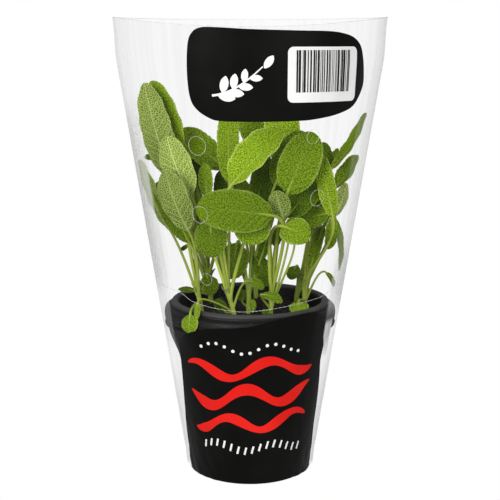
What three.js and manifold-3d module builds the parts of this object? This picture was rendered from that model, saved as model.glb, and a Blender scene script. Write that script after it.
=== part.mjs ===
// A potted sage: a bushy young plant in a black nursery pot, inside a clear tapered sleeve.
// Millimetres, +Z up. The origin is on the surface that the pot stands on, under its middle,
// and -Y is the front.
import * as THREE from 'three';
import { mergeVertices } from 'three/addons/utils/BufferGeometryUtils.js';
import Module from 'manifold-3d';

const wasm = await Module();
wasm.setup();

// Driving dimensions
const gap = 0.3; // kept between pieces that touch
const roundSides = 36; // facets round the pot and the sleeve

const pot = {
  footRadius: 36.5,
  footRingInner: 31.5,
  heelRadius: 38.3, // where the wall starts, above the rounded foot
  heelHeight: 4,
  shoulderRadius: 44.8, // where the wall starts to flare out to the collar
  shoulderHeight: 71,
  beadRadius: 54.4, // the narrow band under the rim
  beadHeight: 98.4,
  groove: 0.9, // deep, between the bead and the rim
  grooveHeight: 99.6,
  rimRadius: 54.9,
  rimHeight: 101, // where the rim starts, above the groove
  ledgeRadius: 53.8, // the rim's rounded upper corner
  ledgeHeight: 108.3,
  neckRadius: 51.2, // where the rolled ring rises from the rim's ledge
  neckHeight: 108.8,
  ringRadius: 50.7,
  ringHeight: 110,
  crestRadius: 48.5,
  height: 112.5,
  lipRadius: 46,
  lipHeight: 110.6,
  wall: 1.4,
  floorHeight: 3.2, // top of the floor
  footLift: 1.4, // underside of the floor above the foot ring
};
const drain = { count: 8, radius: 3, ringRadius: 25, sides: 8 };

const soil = { surface: 104, hump: 1.6, rings: 3, wider: 1.2, holeSides: 8 }; // wider above the shoulder

const sleeve = {
  footRadius: 39, // inside, on the standing surface
  topRadius: 86, // inside, at the side seams
  topHeight: 290,
  dip: 6.5, // how much lower the top edge is at the front
  footHeight: 1,
  film: 0.5,
  ventSides: 14,
};
// Punched vents in the front of the sleeve: sideways place, height and radius
const vents = [
  { x: -30.3, z: 216.6, radius: 5.4 },
  { x: 36.1, z: 221.6, radius: 4.1 },
  { x: -29.2, z: 175.7, radius: 5.1 },
  { x: 39.3, z: 185.1, radius: 4.9 },
  { x: -25.9, z: 136.1, radius: 3.7 },
];

const blade = {
  thickness: 0.8,
  tooth: 0.45, // how far the margin's teeth stand out
  widest: 0.47, // of the length
  neck: 1, // half width where the petiole meets the blade
  end: 1.1, // half width at the rounded tip
  full: 2.3, // how blunt the outline is at its widest
  blunt: 0.62, // how blunt it is at the neck
  tipBlunt: 0.52, // and at the tip
  seat: 5, // how far the petiole runs on under the blade
  spacing: 7, // between stations along the blade
  fewest: 5,
  most: 8,
};
const stalk = {
  sides: 4,
  steps: 4,
  radius: 1.4,
  tipRadius: 0.85,
  low: 122, // leaves that start lower than this have straighter petioles
  lowReach: 0.18,
  reach: 0.28, // how far the petiole keeps to the stem's way and then the blade's, of its length
  lean: 0.7, // how much its start turns from the stem's way towards the blade
};
const mainStalk = { sides: 6, steps: 5, radius: 2, tipRadius: 1.7 };

const colours = {
  pot: { color: '#1b1b1b', roughness: 0.45, metalness: 0 },
  soil: { color: '#231a14', roughness: 1, metalness: 0 },
  leaf: { color: '#6f8f2a', roughness: 0.75, metalness: 0 },
  film: { color: '#eef0f0', roughness: 0.15, metalness: 0 },
};

const toViewer = [0, -1, 0.2];

// Each plant: its main stem's points from the root up, and its leaves. A leaf is given as
// [base, tip, face, width, arch, fold, at]: its blade runs from base to tip, its upper side looks
// along face, arch lifts its middle to the upper side, fold lifts its margins, in degrees, and at
// says how far up the main stem its petiole starts.
const plants = {
  plant_left: {
    stem: [[-30, -8, 90], [-31, -8, 106], [-33, -9, 118]],
    leaves: [
      [[-48.6, -14, 191.5], [-65.0, -9, 250.1], [0.35, 1, 0.1], 21.5, -3, 8, 0.85],
      [[-44.4, -8.5, 206.5], [-61.8, -2, 250.8], [-0.45, -1, 0.1], 22.5, 2, 6, 0.95],
      [[-37.4, -29, 160.9], [-51.2, -31, 198.3], [0.5, 1, 0], 20, -3, 8, 0.8],
      [[-50.3, -12, 158.7], [-68.6, -10, 202.8], [0.75, 0.7, 0.3], 14.5, -2.2, 8, 0.65],
      [[-37.8, -15, 151], [-58, -11, 188.8], [-0.2, -1, 0.5], 16, 3, 20, 0.7],
      [[-51.7, -1, 202.9], [-66.9, 1, 203.3], [0.1, -0.8, 0.6], 6.5, 1, 10, 0.9],
      [[-36.2, -41, 114.5], [-36.6, -41.6, 106.6], [-0.66, -0.75, 0], 9, 0.3, 0, 0.75],
      [[-39.4, -5, 147.9], [-44.3, -9, 144.7], [0, -1, 0.5], 2.8, 0.2, 5, 0.95],
    ],
  },
  plant_front: {
    stem: [[-8.5, -22, 90], [-10.2, -22, 107], [-13.3, -22, 119]],
    leaves: [
      [[-36.9, -23, 181.7], [-50.5, -24, 218.3], [0.4, 1, 0], 20.7, -3, 10, 0.75],
      [[1.5, -30, 168], [1, -43, 154.6], [0, -0.75, 0.66], 22, 3, 5, 0.9],
      [[-24, -33, 168.5], [-23.3, -41, 146.6], toViewer, 20, 3, 5, 0.85],
      [[-11, -24, 189], [20.5, -23, 221.6], [-0.47, -0.73, 0.48], 28, 1, 34, 1],
      [[-27, -16, 180], [-28, -15, 201], toViewer, 9, 1, 10, 0.8],
      [[-12.8, -10, 187.6], [-12.8, -5, 239.4], [-0.3, -1, 0], 15, 2, 15, 0.95],
      [[-1, -27, 129], [8.5, -31, 125], [0, -0.6, 1], 7, 1.5, 5, 0.66],
      [[-31.8, -40.5, 119], [-32.5, -43, 108.8], [-0.6, -0.8, 0], 4.6, 0.3, 0, 0.62],
      [[-15.5, -24, 108.7], [-21, -27, 117.5], [-0.3, -1, 0.3], 7, 0.5, 5, 0.6],
    ],
  },
  plant_middle: {
    stem: [[-1, -14, 90], [-1, -14, 107], [-0.5, -12, 121]],
    leaves: [
      [[-8.2, -7, 149.5], [-12.2, -14, 127.7], [0, -1, 0.3], 18.5, 2, 5, 0.85],
      [[3, -2, 140], [11, -9, 122], [0.3, -1, 0.5], 13, 4, 8, 0.9],
      [[-5, -4, 111], [-4, -6, 119], toViewer, 7, 1, 8, 0.6],
      [[1.9, -22, 108.5], [1.8, -23, 116.5], toViewer, 4, 0.5, 10, 0.62],
      [[4, -4, 172], [10, -1, 206], [0.1, -1, 0.3], 14, 2, 10, 1],
      [[11.3, -3, 152.5], [6.3, -6, 138.2], [-0.2, -1, 0.1], 6.5, 0.5, 6, 0.8],
    ],
  },
  plant_right_middle: {
    stem: [[14, -20, 90], [13, -20, 107], [14, -19, 121]],
    leaves: [
      [[14, -40, 172], [-32, -47, 178], [-0.1, -1, 0.3], 26, 4, 4, 0.8],
      [[22.5, -30, 183.9], [38.2, -30, 221.3], [-0.1, -1, 0.15], 25, 3, 6, 0.7],
      [[20.2, -31, 169.2], [15.6, -35, 186.4], [0.1, 1, 0], 13.5, -1, 6, 0.9],
      [[22.6, -23, 168.6], [45.8, -14, 191.5], [-0.2, -0.9, 0.5], 18, 2, 10, 0.68],
      [[19.2, -36, 165.1], [35.4, -43, 157.6], [0.1, -0.8, 0.7], 20, 2, 6, 0.64],
      [[18, -8, 160], [16, -11, 148], [-0.4, -1, 0.2], 8, 1, 10, 0.95],
      [[15.5, -13, 187], [33, -11, 220.5], [-0.2, -1, 0.3], 19, 2, 10, 0.98],
      [[7, -29, 121], [20, -33, 117], [0.1, -0.6, 1], 8, 1.5, 5, 0.62],
      [[13.4, -28, 108.7], [7.6, -31.5, 110.2], [0, -0.6, 1], 6, 0.4, 5, 0.6],
    ],
  },
  plant_right: {
    stem: [[35, 1, 90], [35.3, 0, 107], [34.8, 0, 120]],
    leaves: [
      [[51.2, -26, 168.2], [43.7, -26, 207.3], [-0.4, -1, 0.15], 12, 1, 10, 1],
      [[49, -13, 169.4], [28.9, -13, 163.5], [-0.1, -1, 0.6], 15, 2, 8, 0.85],
      [[53, -8, 167], [61, -2, 187], [-0.6, 0.8, 0.2], 11, -1.5, 12, 0.9],
      [[54.2, -2, 184.3], [68, 2, 204.5], [-0.7, -0.6, 0.4], 15, -2, 25, 0.95],
      [[51.5, 6, 195], [73.2, 6, 230.8], [-1, -0.6, 0.6], 11.5, -3.5, 22, 1],
      [[51, -15, 167], [49, -15, 147], [0.4, -1, 0.2], 9, 2, 15, 0.75],
      [[54, -6, 165], [57, -3, 131], [0.9, -0.6, 0.3], 8, 2, 15, 0.7],
      [[38.5, -5.5, 132], [46.9, -6.5, 160.5], [-0.5, -1, 0.2], 9, 1, 32, 0.75],
      [[49, 0, 129], [54, -1, 120], [0.6, -0.5, 0.8], 6, 1, 10, 0.62],
      [[30.6, -19.5, 114.5], [30.8, -28, 108.6], [-0.1, -1, 0.6], 12, 1.2, 0, 0.66],
    ],
  },
  plant_back_left: {
    stem: [[-26, 20, 90], [-26, 20, 107], [-27, 18, 121]],
    leaves: [
      [[-16.4, 2, 196], [-44.8, 8, 219.7], [-0.2, -0.9, 0.5], 18.5, 3, 8, 1],
      [[-28.8, 15, 198], [-30.4, 15, 217.7], toViewer, 9, 1, 10, 0.9],
      [[-28, 9, 125], [-25.5, 4, 113], [0.2, -0.8, 0.6], 12.5, 1.5, 0, 0.66],
      [[-36.5, 12.5, 114], [-47, 14.5, 115], [0, -0.4, 1], 6, 0.5, 5, 0.62],
    ],
  },
  plant_back_middle: {
    stem: [[4, 28, 90], [4, 28, 107], [3, 26, 121]],
    leaves: [
      [[8, 20, 203], [-5, 25, 236], toViewer, 17, 2, 8, 1],
      [[20.5, 8, 198], [20, 10, 241], toViewer, 23, 2, 6, 0.9],
      [[13, 12, 165], [15, 10, 200], [0.2, -1, 0.4], 14, 2, 8, 0.8],
    ],
  },
  plant_back_right: {
    stem: [[31, 24, 90], [31, 24, 107], [33, 23, 120]],
    leaves: [
      [[51.7, 15, 194.2], [47.0, 16, 211.3], [-0.2, -1, 0.2], 8.5, 1, 8, 1],
      [[51.0, 20, 194.9], [57.1, 21, 206.8], [0.3, -1, 0.4], 5, 1, 8, 0.9],
      [[30.6, 19, 129.7], [26.9, 12, 121.9], [-0.3, -0.8, 0.6], 9, 1.5, 0, 0.62],
    ],
  },
};

// The back of the bush: leaves up each back stem, spread over its own sector, in degrees
const backSectors = {
  plant_back_left: { from: 112, to: 215 },
  plant_back_middle: { from: 58, to: 128 },
  plant_back_right: { from: -20, to: 62 },
};
const backLeaf = {
  count: 5,
  length: 38,
  longer: 6, // how much the leaves' lengths vary
  width: 19,
  arch: 3,
  fold: 10, // degrees
  petiole: 40,
  petioleRise: 70, // degrees
  bladeRise: 50, // degrees
  steeper: 3, // degrees, at each try that keeps the tip clear of the film
  clearOfFilm: 4,
  firstAt: 0.5, // of the main stem
  step: 0.11,
  spread: 0.618, // of the sector, from one leaf to the next
};

// Shapes that the pieces share
function solid(geometry) {
  const bare = geometry.clone();
  bare.deleteAttribute('normal');
  bare.deleteAttribute('uv');
  const merged = mergeVertices(bare, 1e-5);
  return new wasm.Manifold(new wasm.Mesh({
    numProp: 3,
    vertProperties: new Float32Array(merged.attributes.position.array),
    triVerts: new Uint32Array(merged.index.array),
  }));
}

function geometryOf(body) {
  const { numProp, vertProperties, triVerts } = body.getMesh();
  const points = new Float32Array((vertProperties.length / numProp) * 3);
  for (let i = 0; i < points.length / 3; i += 1) {
    for (let k = 0; k < 3; k += 1) points[3 * i + k] = vertProperties[numProp * i + k];
  }
  const geometry = new THREE.BufferGeometry();
  geometry.setAttribute('position', new THREE.BufferAttribute(points, 3));
  geometry.setIndex(new THREE.BufferAttribute(new Uint32Array(triVerts), 1));
  return geometry;
}

function geometryFrom(points, triangles) {
  const geometry = new THREE.BufferGeometry();
  geometry.setAttribute('position', new THREE.Float32BufferAttribute(points.flatMap((p) => p.toArray()), 3));
  geometry.setIndex(triangles.flat());
  return geometry;
}

// A lathe turned about Z, from a closed outline of [radius, height] pairs
function turned(outline) {
  const points = outline.map(([radius, height]) => new THREE.Vector2(radius, height));
  return new THREE.LatheGeometry([...points, points[0].clone()], roundSides).rotateX(Math.PI / 2);
}

function joined(bodies) {
  return bodies.slice(1).reduce((whole, body) => whole.add(body), bodies[0]);
}

// A tube through points that narrows from one radius to another, closed at both ends
function taperedTube(route, startRadius, endRadius, sides) {
  const steps = route.length - 1;
  const points = [];
  const side = new THREE.Vector3(1, 0, 0);
  for (let i = 0; i <= steps; i += 1) {
    const run = route[Math.min(i + 1, steps)].clone().sub(route[Math.max(i - 1, 0)]).normalize();
    side.addScaledVector(run, -side.dot(run)).normalize();
    const other = new THREE.Vector3().crossVectors(run, side);
    const radius = THREE.MathUtils.lerp(startRadius, endRadius, i / steps);
    for (let j = 0; j < sides; j += 1) {
      const angle = (2 * Math.PI * j) / sides;
      points.push(route[i].clone()
        .addScaledVector(side, radius * Math.cos(angle))
        .addScaledVector(other, radius * Math.sin(angle)));
    }
  }
  const triangles = [];
  for (let i = 0; i < steps; i += 1) {
    for (let j = 0; j < sides; j += 1) {
      const a = i * sides + j;
      const b = i * sides + ((j + 1) % sides);
      triangles.push([a, b, b + sides], [a, b + sides, a + sides]);
    }
  }
  const last = steps * sides;
  for (let j = 1; j < sides - 1; j += 1) {
    triangles.push([0, j + 1, j], [last, last + j, last + j + 1]);
  }
  return geometryFrom(points, triangles);
}

// How the blade's half width runs from its neck to its rounded tip, between 0 and 1
function bladeProfile(along) {
  const low = along < blade.widest;
  const side = low ? along / blade.widest : (1 - along) / (1 - blade.widest);
  return (1 - (1 - side) ** blade.full) ** (low ? blade.blunt : blade.tipBlunt);
}

function midrib([base, tip, face, , arch]) {
  const start = new THREE.Vector3(...base);
  const end = new THREE.Vector3(...tip);
  const lift = new THREE.Vector3(...face).normalize().multiplyScalar(2 * arch);
  const middle = start.clone().add(end).multiplyScalar(0.5).add(lift);
  return new THREE.QuadraticBezierCurve3(start, middle, end);
}

// A crenate leaf blade: three points across at each station, the same above and below
function bladeGeometry(leaf) {
  const rib = midrib(leaf);
  const [, , towards, width, , fold] = leaf;
  const face = new THREE.Vector3(...towards).normalize();
  const length = rib.getLength();
  const stations = Math.max(blade.fewest, Math.min(blade.most, Math.round(length / blade.spacing)));
  const tilt = THREE.MathUtils.degToRad(fold);
  const upper = [];
  const lower = [];
  for (let i = 0; i < stations; i += 1) {
    const even = i / (stations - 1);
    const along = (even + (1 - Math.cos(Math.PI * even)) / 2) / 2; // closer together at both ends
    const centre = rib.getPoint(along);
    const run = rib.getTangent(along);
    const across = new THREE.Vector3().crossVectors(run, face).normalize();
    const out = new THREE.Vector3().crossVectors(across, run).normalize();
    const narrow = THREE.MathUtils.lerp(blade.neck, blade.end, along);
    const tooth = i === 0 || i === stations - 1 ? 0 : blade.tooth * (i % 2 ? 1 : -1);
    const half = Math.max(narrow, (width / 2) * bladeProfile(along) + tooth);
    for (const side of [-1, 0, 1]) {
      const point = centre.clone()
        .addScaledVector(across, side * half * Math.cos(tilt))
        .addScaledVector(out, Math.abs(side) * half * Math.sin(tilt));
      const skin = out.clone().multiplyScalar(Math.cos(tilt * Math.abs(side)))
        .addScaledVector(across, -side * Math.sin(tilt))
        .multiplyScalar(blade.thickness / 2);
      upper.push(point.clone().add(skin));
      lower.push(point.sub(skin));
    }
  }
  const under = upper.length;
  const triangles = [];
  for (let i = 0; i < stations - 1; i += 1) {
    const a = 3 * i;
    const top = [
      [a, a + 1, a + 4], [a, a + 4, a + 3],
      [a + 2, a + 4, a + 1], [a + 2, a + 5, a + 4],
    ];
    triangles.push(...top, ...top.map(([p, q, r]) => [p + under, r + under, q + under]));
    triangles.push([a, a + 3, a + 3 + under], [a, a + 3 + under, a + under]);
    triangles.push([a + 2, a + 5 + under, a + 5], [a + 2, a + 2 + under, a + 5 + under]);
  }
  const end = 3 * (stations - 1);
  for (const j of [0, 1]) {
    triangles.push([j, j + under, j + 1], [j + 1, j + under, j + 1 + under]);
    triangles.push([end + j, end + j + 1, end + j + under]);
    triangles.push([end + j + 1, end + j + 1 + under, end + j + under]);
  }
  return geometryFrom([...upper, ...lower], triangles);
}

// The petiole leaves the main stem along it, bends to the blade and runs on under its midrib
function petioleGeometry(leaf, stem) {
  const rib = midrib(leaf);
  const [base, , , width, , , at] = leaf;
  const start = stem.getPointAt(at);
  const end = new THREE.Vector3(...base);
  const reach = start.distanceTo(end) * (end.z < stalk.low ? stalk.lowReach : stalk.reach);
  const straight = end.clone().sub(start).normalize();
  const leave = start.clone().addScaledVector(stem.getTangentAt(at).lerp(straight, stalk.lean), reach);
  const arrive = end.clone().addScaledVector(rib.getTangent(0), -reach);
  const route = new THREE.CubicBezierCurve3(start, leave, arrive, end).getPoints(stalk.steps);
  route.push(rib.getPoint(Math.min(0.3, blade.seat / rib.getLength())));
  const size = Math.min(1, 0.5 + width / 40); // small leaves have thin petioles
  return taperedTube(route, stalk.radius * size, stalk.tipRadius * size, stalk.sides);
}

function mainStem({ stem }) {
  return new THREE.CatmullRomCurve3(stem.map((point) => new THREE.Vector3(...point)));
}

function filmRadius(height) {
  return THREE.MathUtils.lerp(sleeve.footRadius, sleeve.topRadius, height / sleeve.topHeight);
}

// One leaf at the back, leaning out from its stem but clear of the film
function leaningLeaf(stem, at, turn, length) {
  const { width, arch, fold, petiole, petioleRise, bladeRise, steeper, clearOfFilm } = backLeaf;
  const out = new THREE.Vector3(Math.cos(turn), Math.sin(turn), 0);
  const up = new THREE.Vector3(0, 0, 1);
  const leaning = (from, rise, reach) => from.clone()
    .addScaledVector(out, reach * Math.cos(rise))
    .addScaledVector(up, reach * Math.sin(rise));
  const base = leaning(stem.getPointAt(at), THREE.MathUtils.degToRad(petioleRise), petiole);
  let rise = THREE.MathUtils.degToRad(bladeRise);
  let tip = leaning(base, rise, length);
  while (Math.hypot(tip.x, tip.y) > filmRadius(tip.z) - clearOfFilm && rise < Math.PI / 2) {
    rise += THREE.MathUtils.degToRad(steeper);
    tip = leaning(base, rise, length);
  }
  const face = up.clone().multiplyScalar(Math.cos(rise)).addScaledVector(out, -Math.sin(rise));
  return [base.toArray(), tip.toArray(), face.toArray(), width, arch, fold, at];
}

function backLeaves(stem, { from, to }) {
  const leaves = [];
  for (let k = 0; k < backLeaf.count; k += 1) {
    const turn = THREE.MathUtils.degToRad(from + (to - from) * (((k + 0.5) * backLeaf.spread) % 1));
    const length = backLeaf.length + backLeaf.longer * Math.sin(2.4 * k);
    leaves.push(leaningLeaf(stem, backLeaf.firstAt + backLeaf.step * k, turn, length));
  }
  return leaves;
}

function plantBody(name, plant) {
  const stem = mainStem(plant);
  const core = stem.getPoints(mainStalk.steps);
  const bodies = [solid(taperedTube(core, mainStalk.radius, mainStalk.tipRadius, mainStalk.sides))];
  const ruled = backSectors[name] ? backLeaves(stem, backSectors[name]) : [];
  for (const leaf of [...plant.leaves, ...ruled]) {
    bodies.push(solid(petioleGeometry(leaf, stem)), solid(bladeGeometry(leaf)));
  }
  return joined(bodies);
}

// Points from one [radius, height] to another, bent by two more between them
function bend(from, first, second, to, steps) {
  const points = [from, first, second, to].map(([radius, height]) => new THREE.Vector2(radius, height));
  return new THREE.CubicBezierCurve(...points).getPoints(steps).map(({ x, y }) => [x, y]);
}

// The pot's wall from its foot up to the flared collar, over the crest and straight down inside
function potBody() {
  const foot = [pot.footRadius, 0];
  const heel = [pot.heelRadius, pot.heelHeight];
  const shoulder = [pot.shoulderRadius, pot.shoulderHeight];
  const bead = [pot.beadRadius, pot.beadHeight];
  const rim = [pot.rimRadius, pot.rimHeight];
  const ledge = [pot.ledgeRadius, pot.ledgeHeight];
  const ring = [pot.ringRadius, pot.ringHeight];
  const crest = [pot.crestRadius, pot.height];
  const lip = [pot.lipRadius, pot.lipHeight];
  const outline = [
    [pot.footRingInner, pot.footLift],
    [pot.footRingInner, 0],
    ...bend(foot, [pot.heelRadius - 0.8, 0], [pot.heelRadius - 0.1, 1], heel, 2),
    ...bend(shoulder, [pot.shoulderRadius + 1, 81], [pot.beadRadius, 89.5], bead, 4),
    [pot.beadRadius - pot.groove, pot.grooveHeight],
    ...bend(rim, [pot.rimRadius + 0.4, 103.5], [pot.rimRadius + 0.3, 107.6], ledge, 3),
    [pot.neckRadius, pot.neckHeight],
    ...bend(ring, [pot.ringRadius, 111.6], [50, pot.height], crest, 2),
    ...bend(crest, [pot.lipRadius + 1, pot.height], [pot.lipRadius, pot.height], lip, 2).slice(1),
    [pot.shoulderRadius - pot.wall, pot.shoulderHeight],
    [pot.heelRadius - pot.wall, pot.floorHeight],
    [0, pot.floorHeight],
    [0, pot.footLift],
  ];
  const hole = new THREE.CylinderGeometry(drain.radius, drain.radius, 3 * pot.floorHeight, drain.sides);
  hole.rotateX(Math.PI / 2);
  let body = solid(turned(outline));
  for (let k = 0; k < drain.count; k += 1) {
    const angle = (2 * Math.PI * (k + 0.5)) / drain.count;
    const place = [drain.ringRadius * Math.cos(angle), drain.ringRadius * Math.sin(angle), 0];
    body = body.subtract(solid(hole.clone().translate(...place)));
  }
  return body;
}

// The soil fills the pot to just under its lip and has a plain hole for each main stem
function soilBody(stems) {
  const fitted = (radius) => radius - pot.wall - gap;
  const bottom = pot.floorHeight + gap;
  const steepness = (pot.shoulderRadius - pot.heelRadius) / (pot.shoulderHeight - pot.floorHeight);
  const bottomRadius = fitted(pot.heelRadius + steepness * gap);
  const edge = fitted(pot.shoulderRadius);
  const outline = [[0, bottom], [bottomRadius, bottom], [edge, pot.shoulderHeight]];
  for (let k = 0; k <= soil.rings; k += 1) {
    const out = 1 - k / soil.rings;
    outline.push([(edge + soil.wider) * out, soil.surface + soil.hump * (1 - out * out)]);
  }
  let body = solid(turned(outline));
  for (const [root, collar] of stems) {
    const line = [new THREE.Vector3(...root), new THREE.Vector3(...collar)];
    line[0].z -= gap;
    const radius = mainStalk.radius + 2 * gap;
    body = body.subtract(solid(taperedTube(line, radius, radius, soil.holeSides)));
  }
  return body;
}

// The sleeve is a cone of film, open at both ends, whose top edge dips at the front
function sleeveBody() {
  const slope = (sleeve.topRadius - sleeve.footRadius) / sleeve.topHeight;
  const ring = (height, extra) => {
    const points = [];
    for (let j = 0; j < roundSides; j += 1) {
      const angle = (2 * Math.PI * j) / roundSides;
      const z = height(angle);
      const radius = sleeve.footRadius + slope * z + extra;
      points.push(new THREE.Vector3(radius * Math.cos(angle), radius * Math.sin(angle), z));
    }
    return points;
  };
  const foot = () => sleeve.footHeight;
  const top = (angle) => sleeve.topHeight - sleeve.dip * Math.max(0, -Math.sin(angle)) ** 2;
  const rings = [ring(foot, 0), ring(foot, sleeve.film), ring(top, sleeve.film), ring(top, 0)];
  const triangles = [];
  for (let i = 0; i < 4; i += 1) {
    for (let j = 0; j < roundSides; j += 1) {
      const next = (j + 1) % roundSides;
      const [a, b] = [i * roundSides + j, i * roundSides + next];
      const [c, d] = [((i + 1) % 4) * roundSides + j, ((i + 1) % 4) * roundSides + next];
      triangles.push([a, b, d], [a, d, c]);
    }
  }
  let body = solid(geometryFrom(rings.flat(), triangles));
  for (const { x, z, radius } of vents) {
    const punch = new THREE.CylinderGeometry(radius, radius, sleeve.topRadius, sleeve.ventSides);
    body = body.subtract(solid(punch.translate(x, -sleeve.topRadius, z)));
  }
  return body;
}

function piece(name, body, finish) {
  const mesh = new THREE.Mesh(geometryOf(body), new THREE.MeshStandardMaterial(finish));
  mesh.name = name;
  return mesh;
}

const group = new THREE.Group();
group.add(piece('pot', potBody(), colours.pot));
group.add(piece('soil', soilBody(Object.values(plants).map(({ stem }) => stem)), colours.soil));
group.add(piece('sleeve', sleeveBody(), colours.film));
for (const [name, plant] of Object.entries(plants)) {
  group.add(piece(name, plantBody(name, plant), colours.leaf));
}

export default group;
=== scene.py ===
# Looks for a potted sage in its clear sleeve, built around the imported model.
# Metres, +Z up, and -Y is the front. The tables below are in millimetres.
import math

import bpy
import numpy as np
from mathutils.geometry import delaunay_2d_cdt
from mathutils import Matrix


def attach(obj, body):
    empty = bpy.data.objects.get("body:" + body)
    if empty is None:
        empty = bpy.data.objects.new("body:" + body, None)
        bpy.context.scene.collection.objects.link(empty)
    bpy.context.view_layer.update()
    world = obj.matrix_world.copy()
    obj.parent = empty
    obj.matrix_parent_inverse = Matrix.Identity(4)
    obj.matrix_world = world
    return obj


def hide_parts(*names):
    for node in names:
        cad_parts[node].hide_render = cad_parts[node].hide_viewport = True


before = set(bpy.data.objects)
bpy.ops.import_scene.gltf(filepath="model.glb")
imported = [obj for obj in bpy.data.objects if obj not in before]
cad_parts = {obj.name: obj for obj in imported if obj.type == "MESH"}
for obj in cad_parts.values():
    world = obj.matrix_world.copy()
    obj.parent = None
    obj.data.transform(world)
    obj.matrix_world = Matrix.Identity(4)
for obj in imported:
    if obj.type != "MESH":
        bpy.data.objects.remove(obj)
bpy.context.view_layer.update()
mm = 0.001
sharpAngle = 50  # degrees, from which an edge stays crisp
scene = bpy.context.scene


class Field:  # a socket in a finish: sums on it add their Math nodes
    def __init__(self, finish, socket):
        self.finish = finish
        self.socket = socket

    def maths(self, operation, *inputs):
        return self.finish.node("ShaderNodeMath", {"operation": operation}, dict(enumerate(inputs)))

    def __add__(self, other):
        return self.maths("ADD", self, other)

    def __radd__(self, other):
        return self.maths("ADD", other, self)

    def __sub__(self, other):
        return self.maths("SUBTRACT", self, other)

    def __rsub__(self, other):
        return self.maths("SUBTRACT", other, self)

    def __mul__(self, other):
        return self.maths("MULTIPLY", self, other)

    def __rmul__(self, other):
        return self.maths("MULTIPLY", other, self)

    def __truediv__(self, other):
        return self.maths("DIVIDE", self, other)

    def __rtruediv__(self, other):
        return self.maths("DIVIDE", other, self)

    def __abs__(self):
        return self.maths("ABSOLUTE", self)


class Finish:  # a material: its Principled shader and the nodes that feed it
    def __init__(self, name, constants):
        self.material = bpy.data.materials.new(name)
        self.material.use_nodes = True
        self.tree = self.material.node_tree
        self.shader = self.tree.nodes["Principled BSDF"]
        for socket, value in constants.items():
            self.feed(socket, value)

    def connect(self, socket, value):
        if isinstance(value, Field):
            self.tree.links.new(value.socket, socket)
        else:
            socket.default_value = value

    def feed(self, socket, value):
        self.connect(self.shader.inputs[socket], value)

    def node(self, kind, settings, values, output=0):  # output None gives all of the node's outputs
        made = self.tree.nodes.new(kind)
        for name, value in settings.items():
            if name == "stops":
                ramp = made.color_ramp.elements
                for place, colour in value[2:]:
                    ramp.new(place)
                for stop, (place, colour) in zip(ramp, value):
                    stop.position = place
                    stop.color = colour
            else:
                setattr(made, name, value)
        for socket, value in values.items():
            self.connect(made.inputs[socket], value)
        if output is None:
            return [Field(self, socket) for socket in made.outputs]
        return Field(self, made.outputs[output])

    def mix(self, share, first, second, how="MIX"):
        settings = {"data_type": "RGBA", "blend_type": how}
        return self.node("ShaderNodeMix", settings, {0: share, 6: first, 7: second}, 2)

    def coats(self, colour, *coats):  # each coat is a share and the colour that it brings
        for share, over in coats:
            colour = self.mix(share, colour, over)
        return colour

    def rise(self, value, low, high):  # 0 below low, 1 above high, smooth between
        values = {"Value": value, "From Min": low, "From Max": high}
        return self.node("ShaderNodeMapRange", {"interpolation_type": "SMOOTHSTEP"}, values)

    def read(self, name):
        return self.node("ShaderNodeAttribute", {"attribute_name": name}, {}, "Vector")

    def place(self):  # where a point is on the object, in metres
        return self.node("ShaderNodeTexCoord", {}, {}, "Object")

    def split(self, vector):
        return self.node("ShaderNodeSeparateXYZ", {}, {0: vector}, None)

    def stretch(self, vector, by):
        return self.node("ShaderNodeVectorMath", {"operation": "MULTIPLY"}, {0: vector, 1: by})

    def noise(self, vector, scale, detail=2, rough=0.5):
        values = {"Vector": vector, "Scale": scale, "Detail": detail, "Roughness": rough}
        return self.node("ShaderNodeTexNoise", {}, values)

    def cells(self, vector, scale, feature="F1", loose=1, dimensions="3D"):
        values = {"Vector": vector, "Scale": scale, "Randomness": loose}
        settings = {"feature": feature, "voronoi_dimensions": dimensions}
        return self.node("ShaderNodeTexVoronoi", settings, values, "Distance")

    def bump(self, height, distance, strength=1):
        values = {"Strength": strength, "Distance": distance, "Height": height}
        self.feed("Normal", self.node("ShaderNodeBump", {}, values))


def paint(red, green, blue):  # a screen colour, 0 to 255, as the linear one that nodes take
    linear = [((v / 255 + 0.055) / 1.055) ** 2.4 if v > 10 else v / 255 / 12.92 for v in (red, green, blue)]
    return (*linear, 1)


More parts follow.
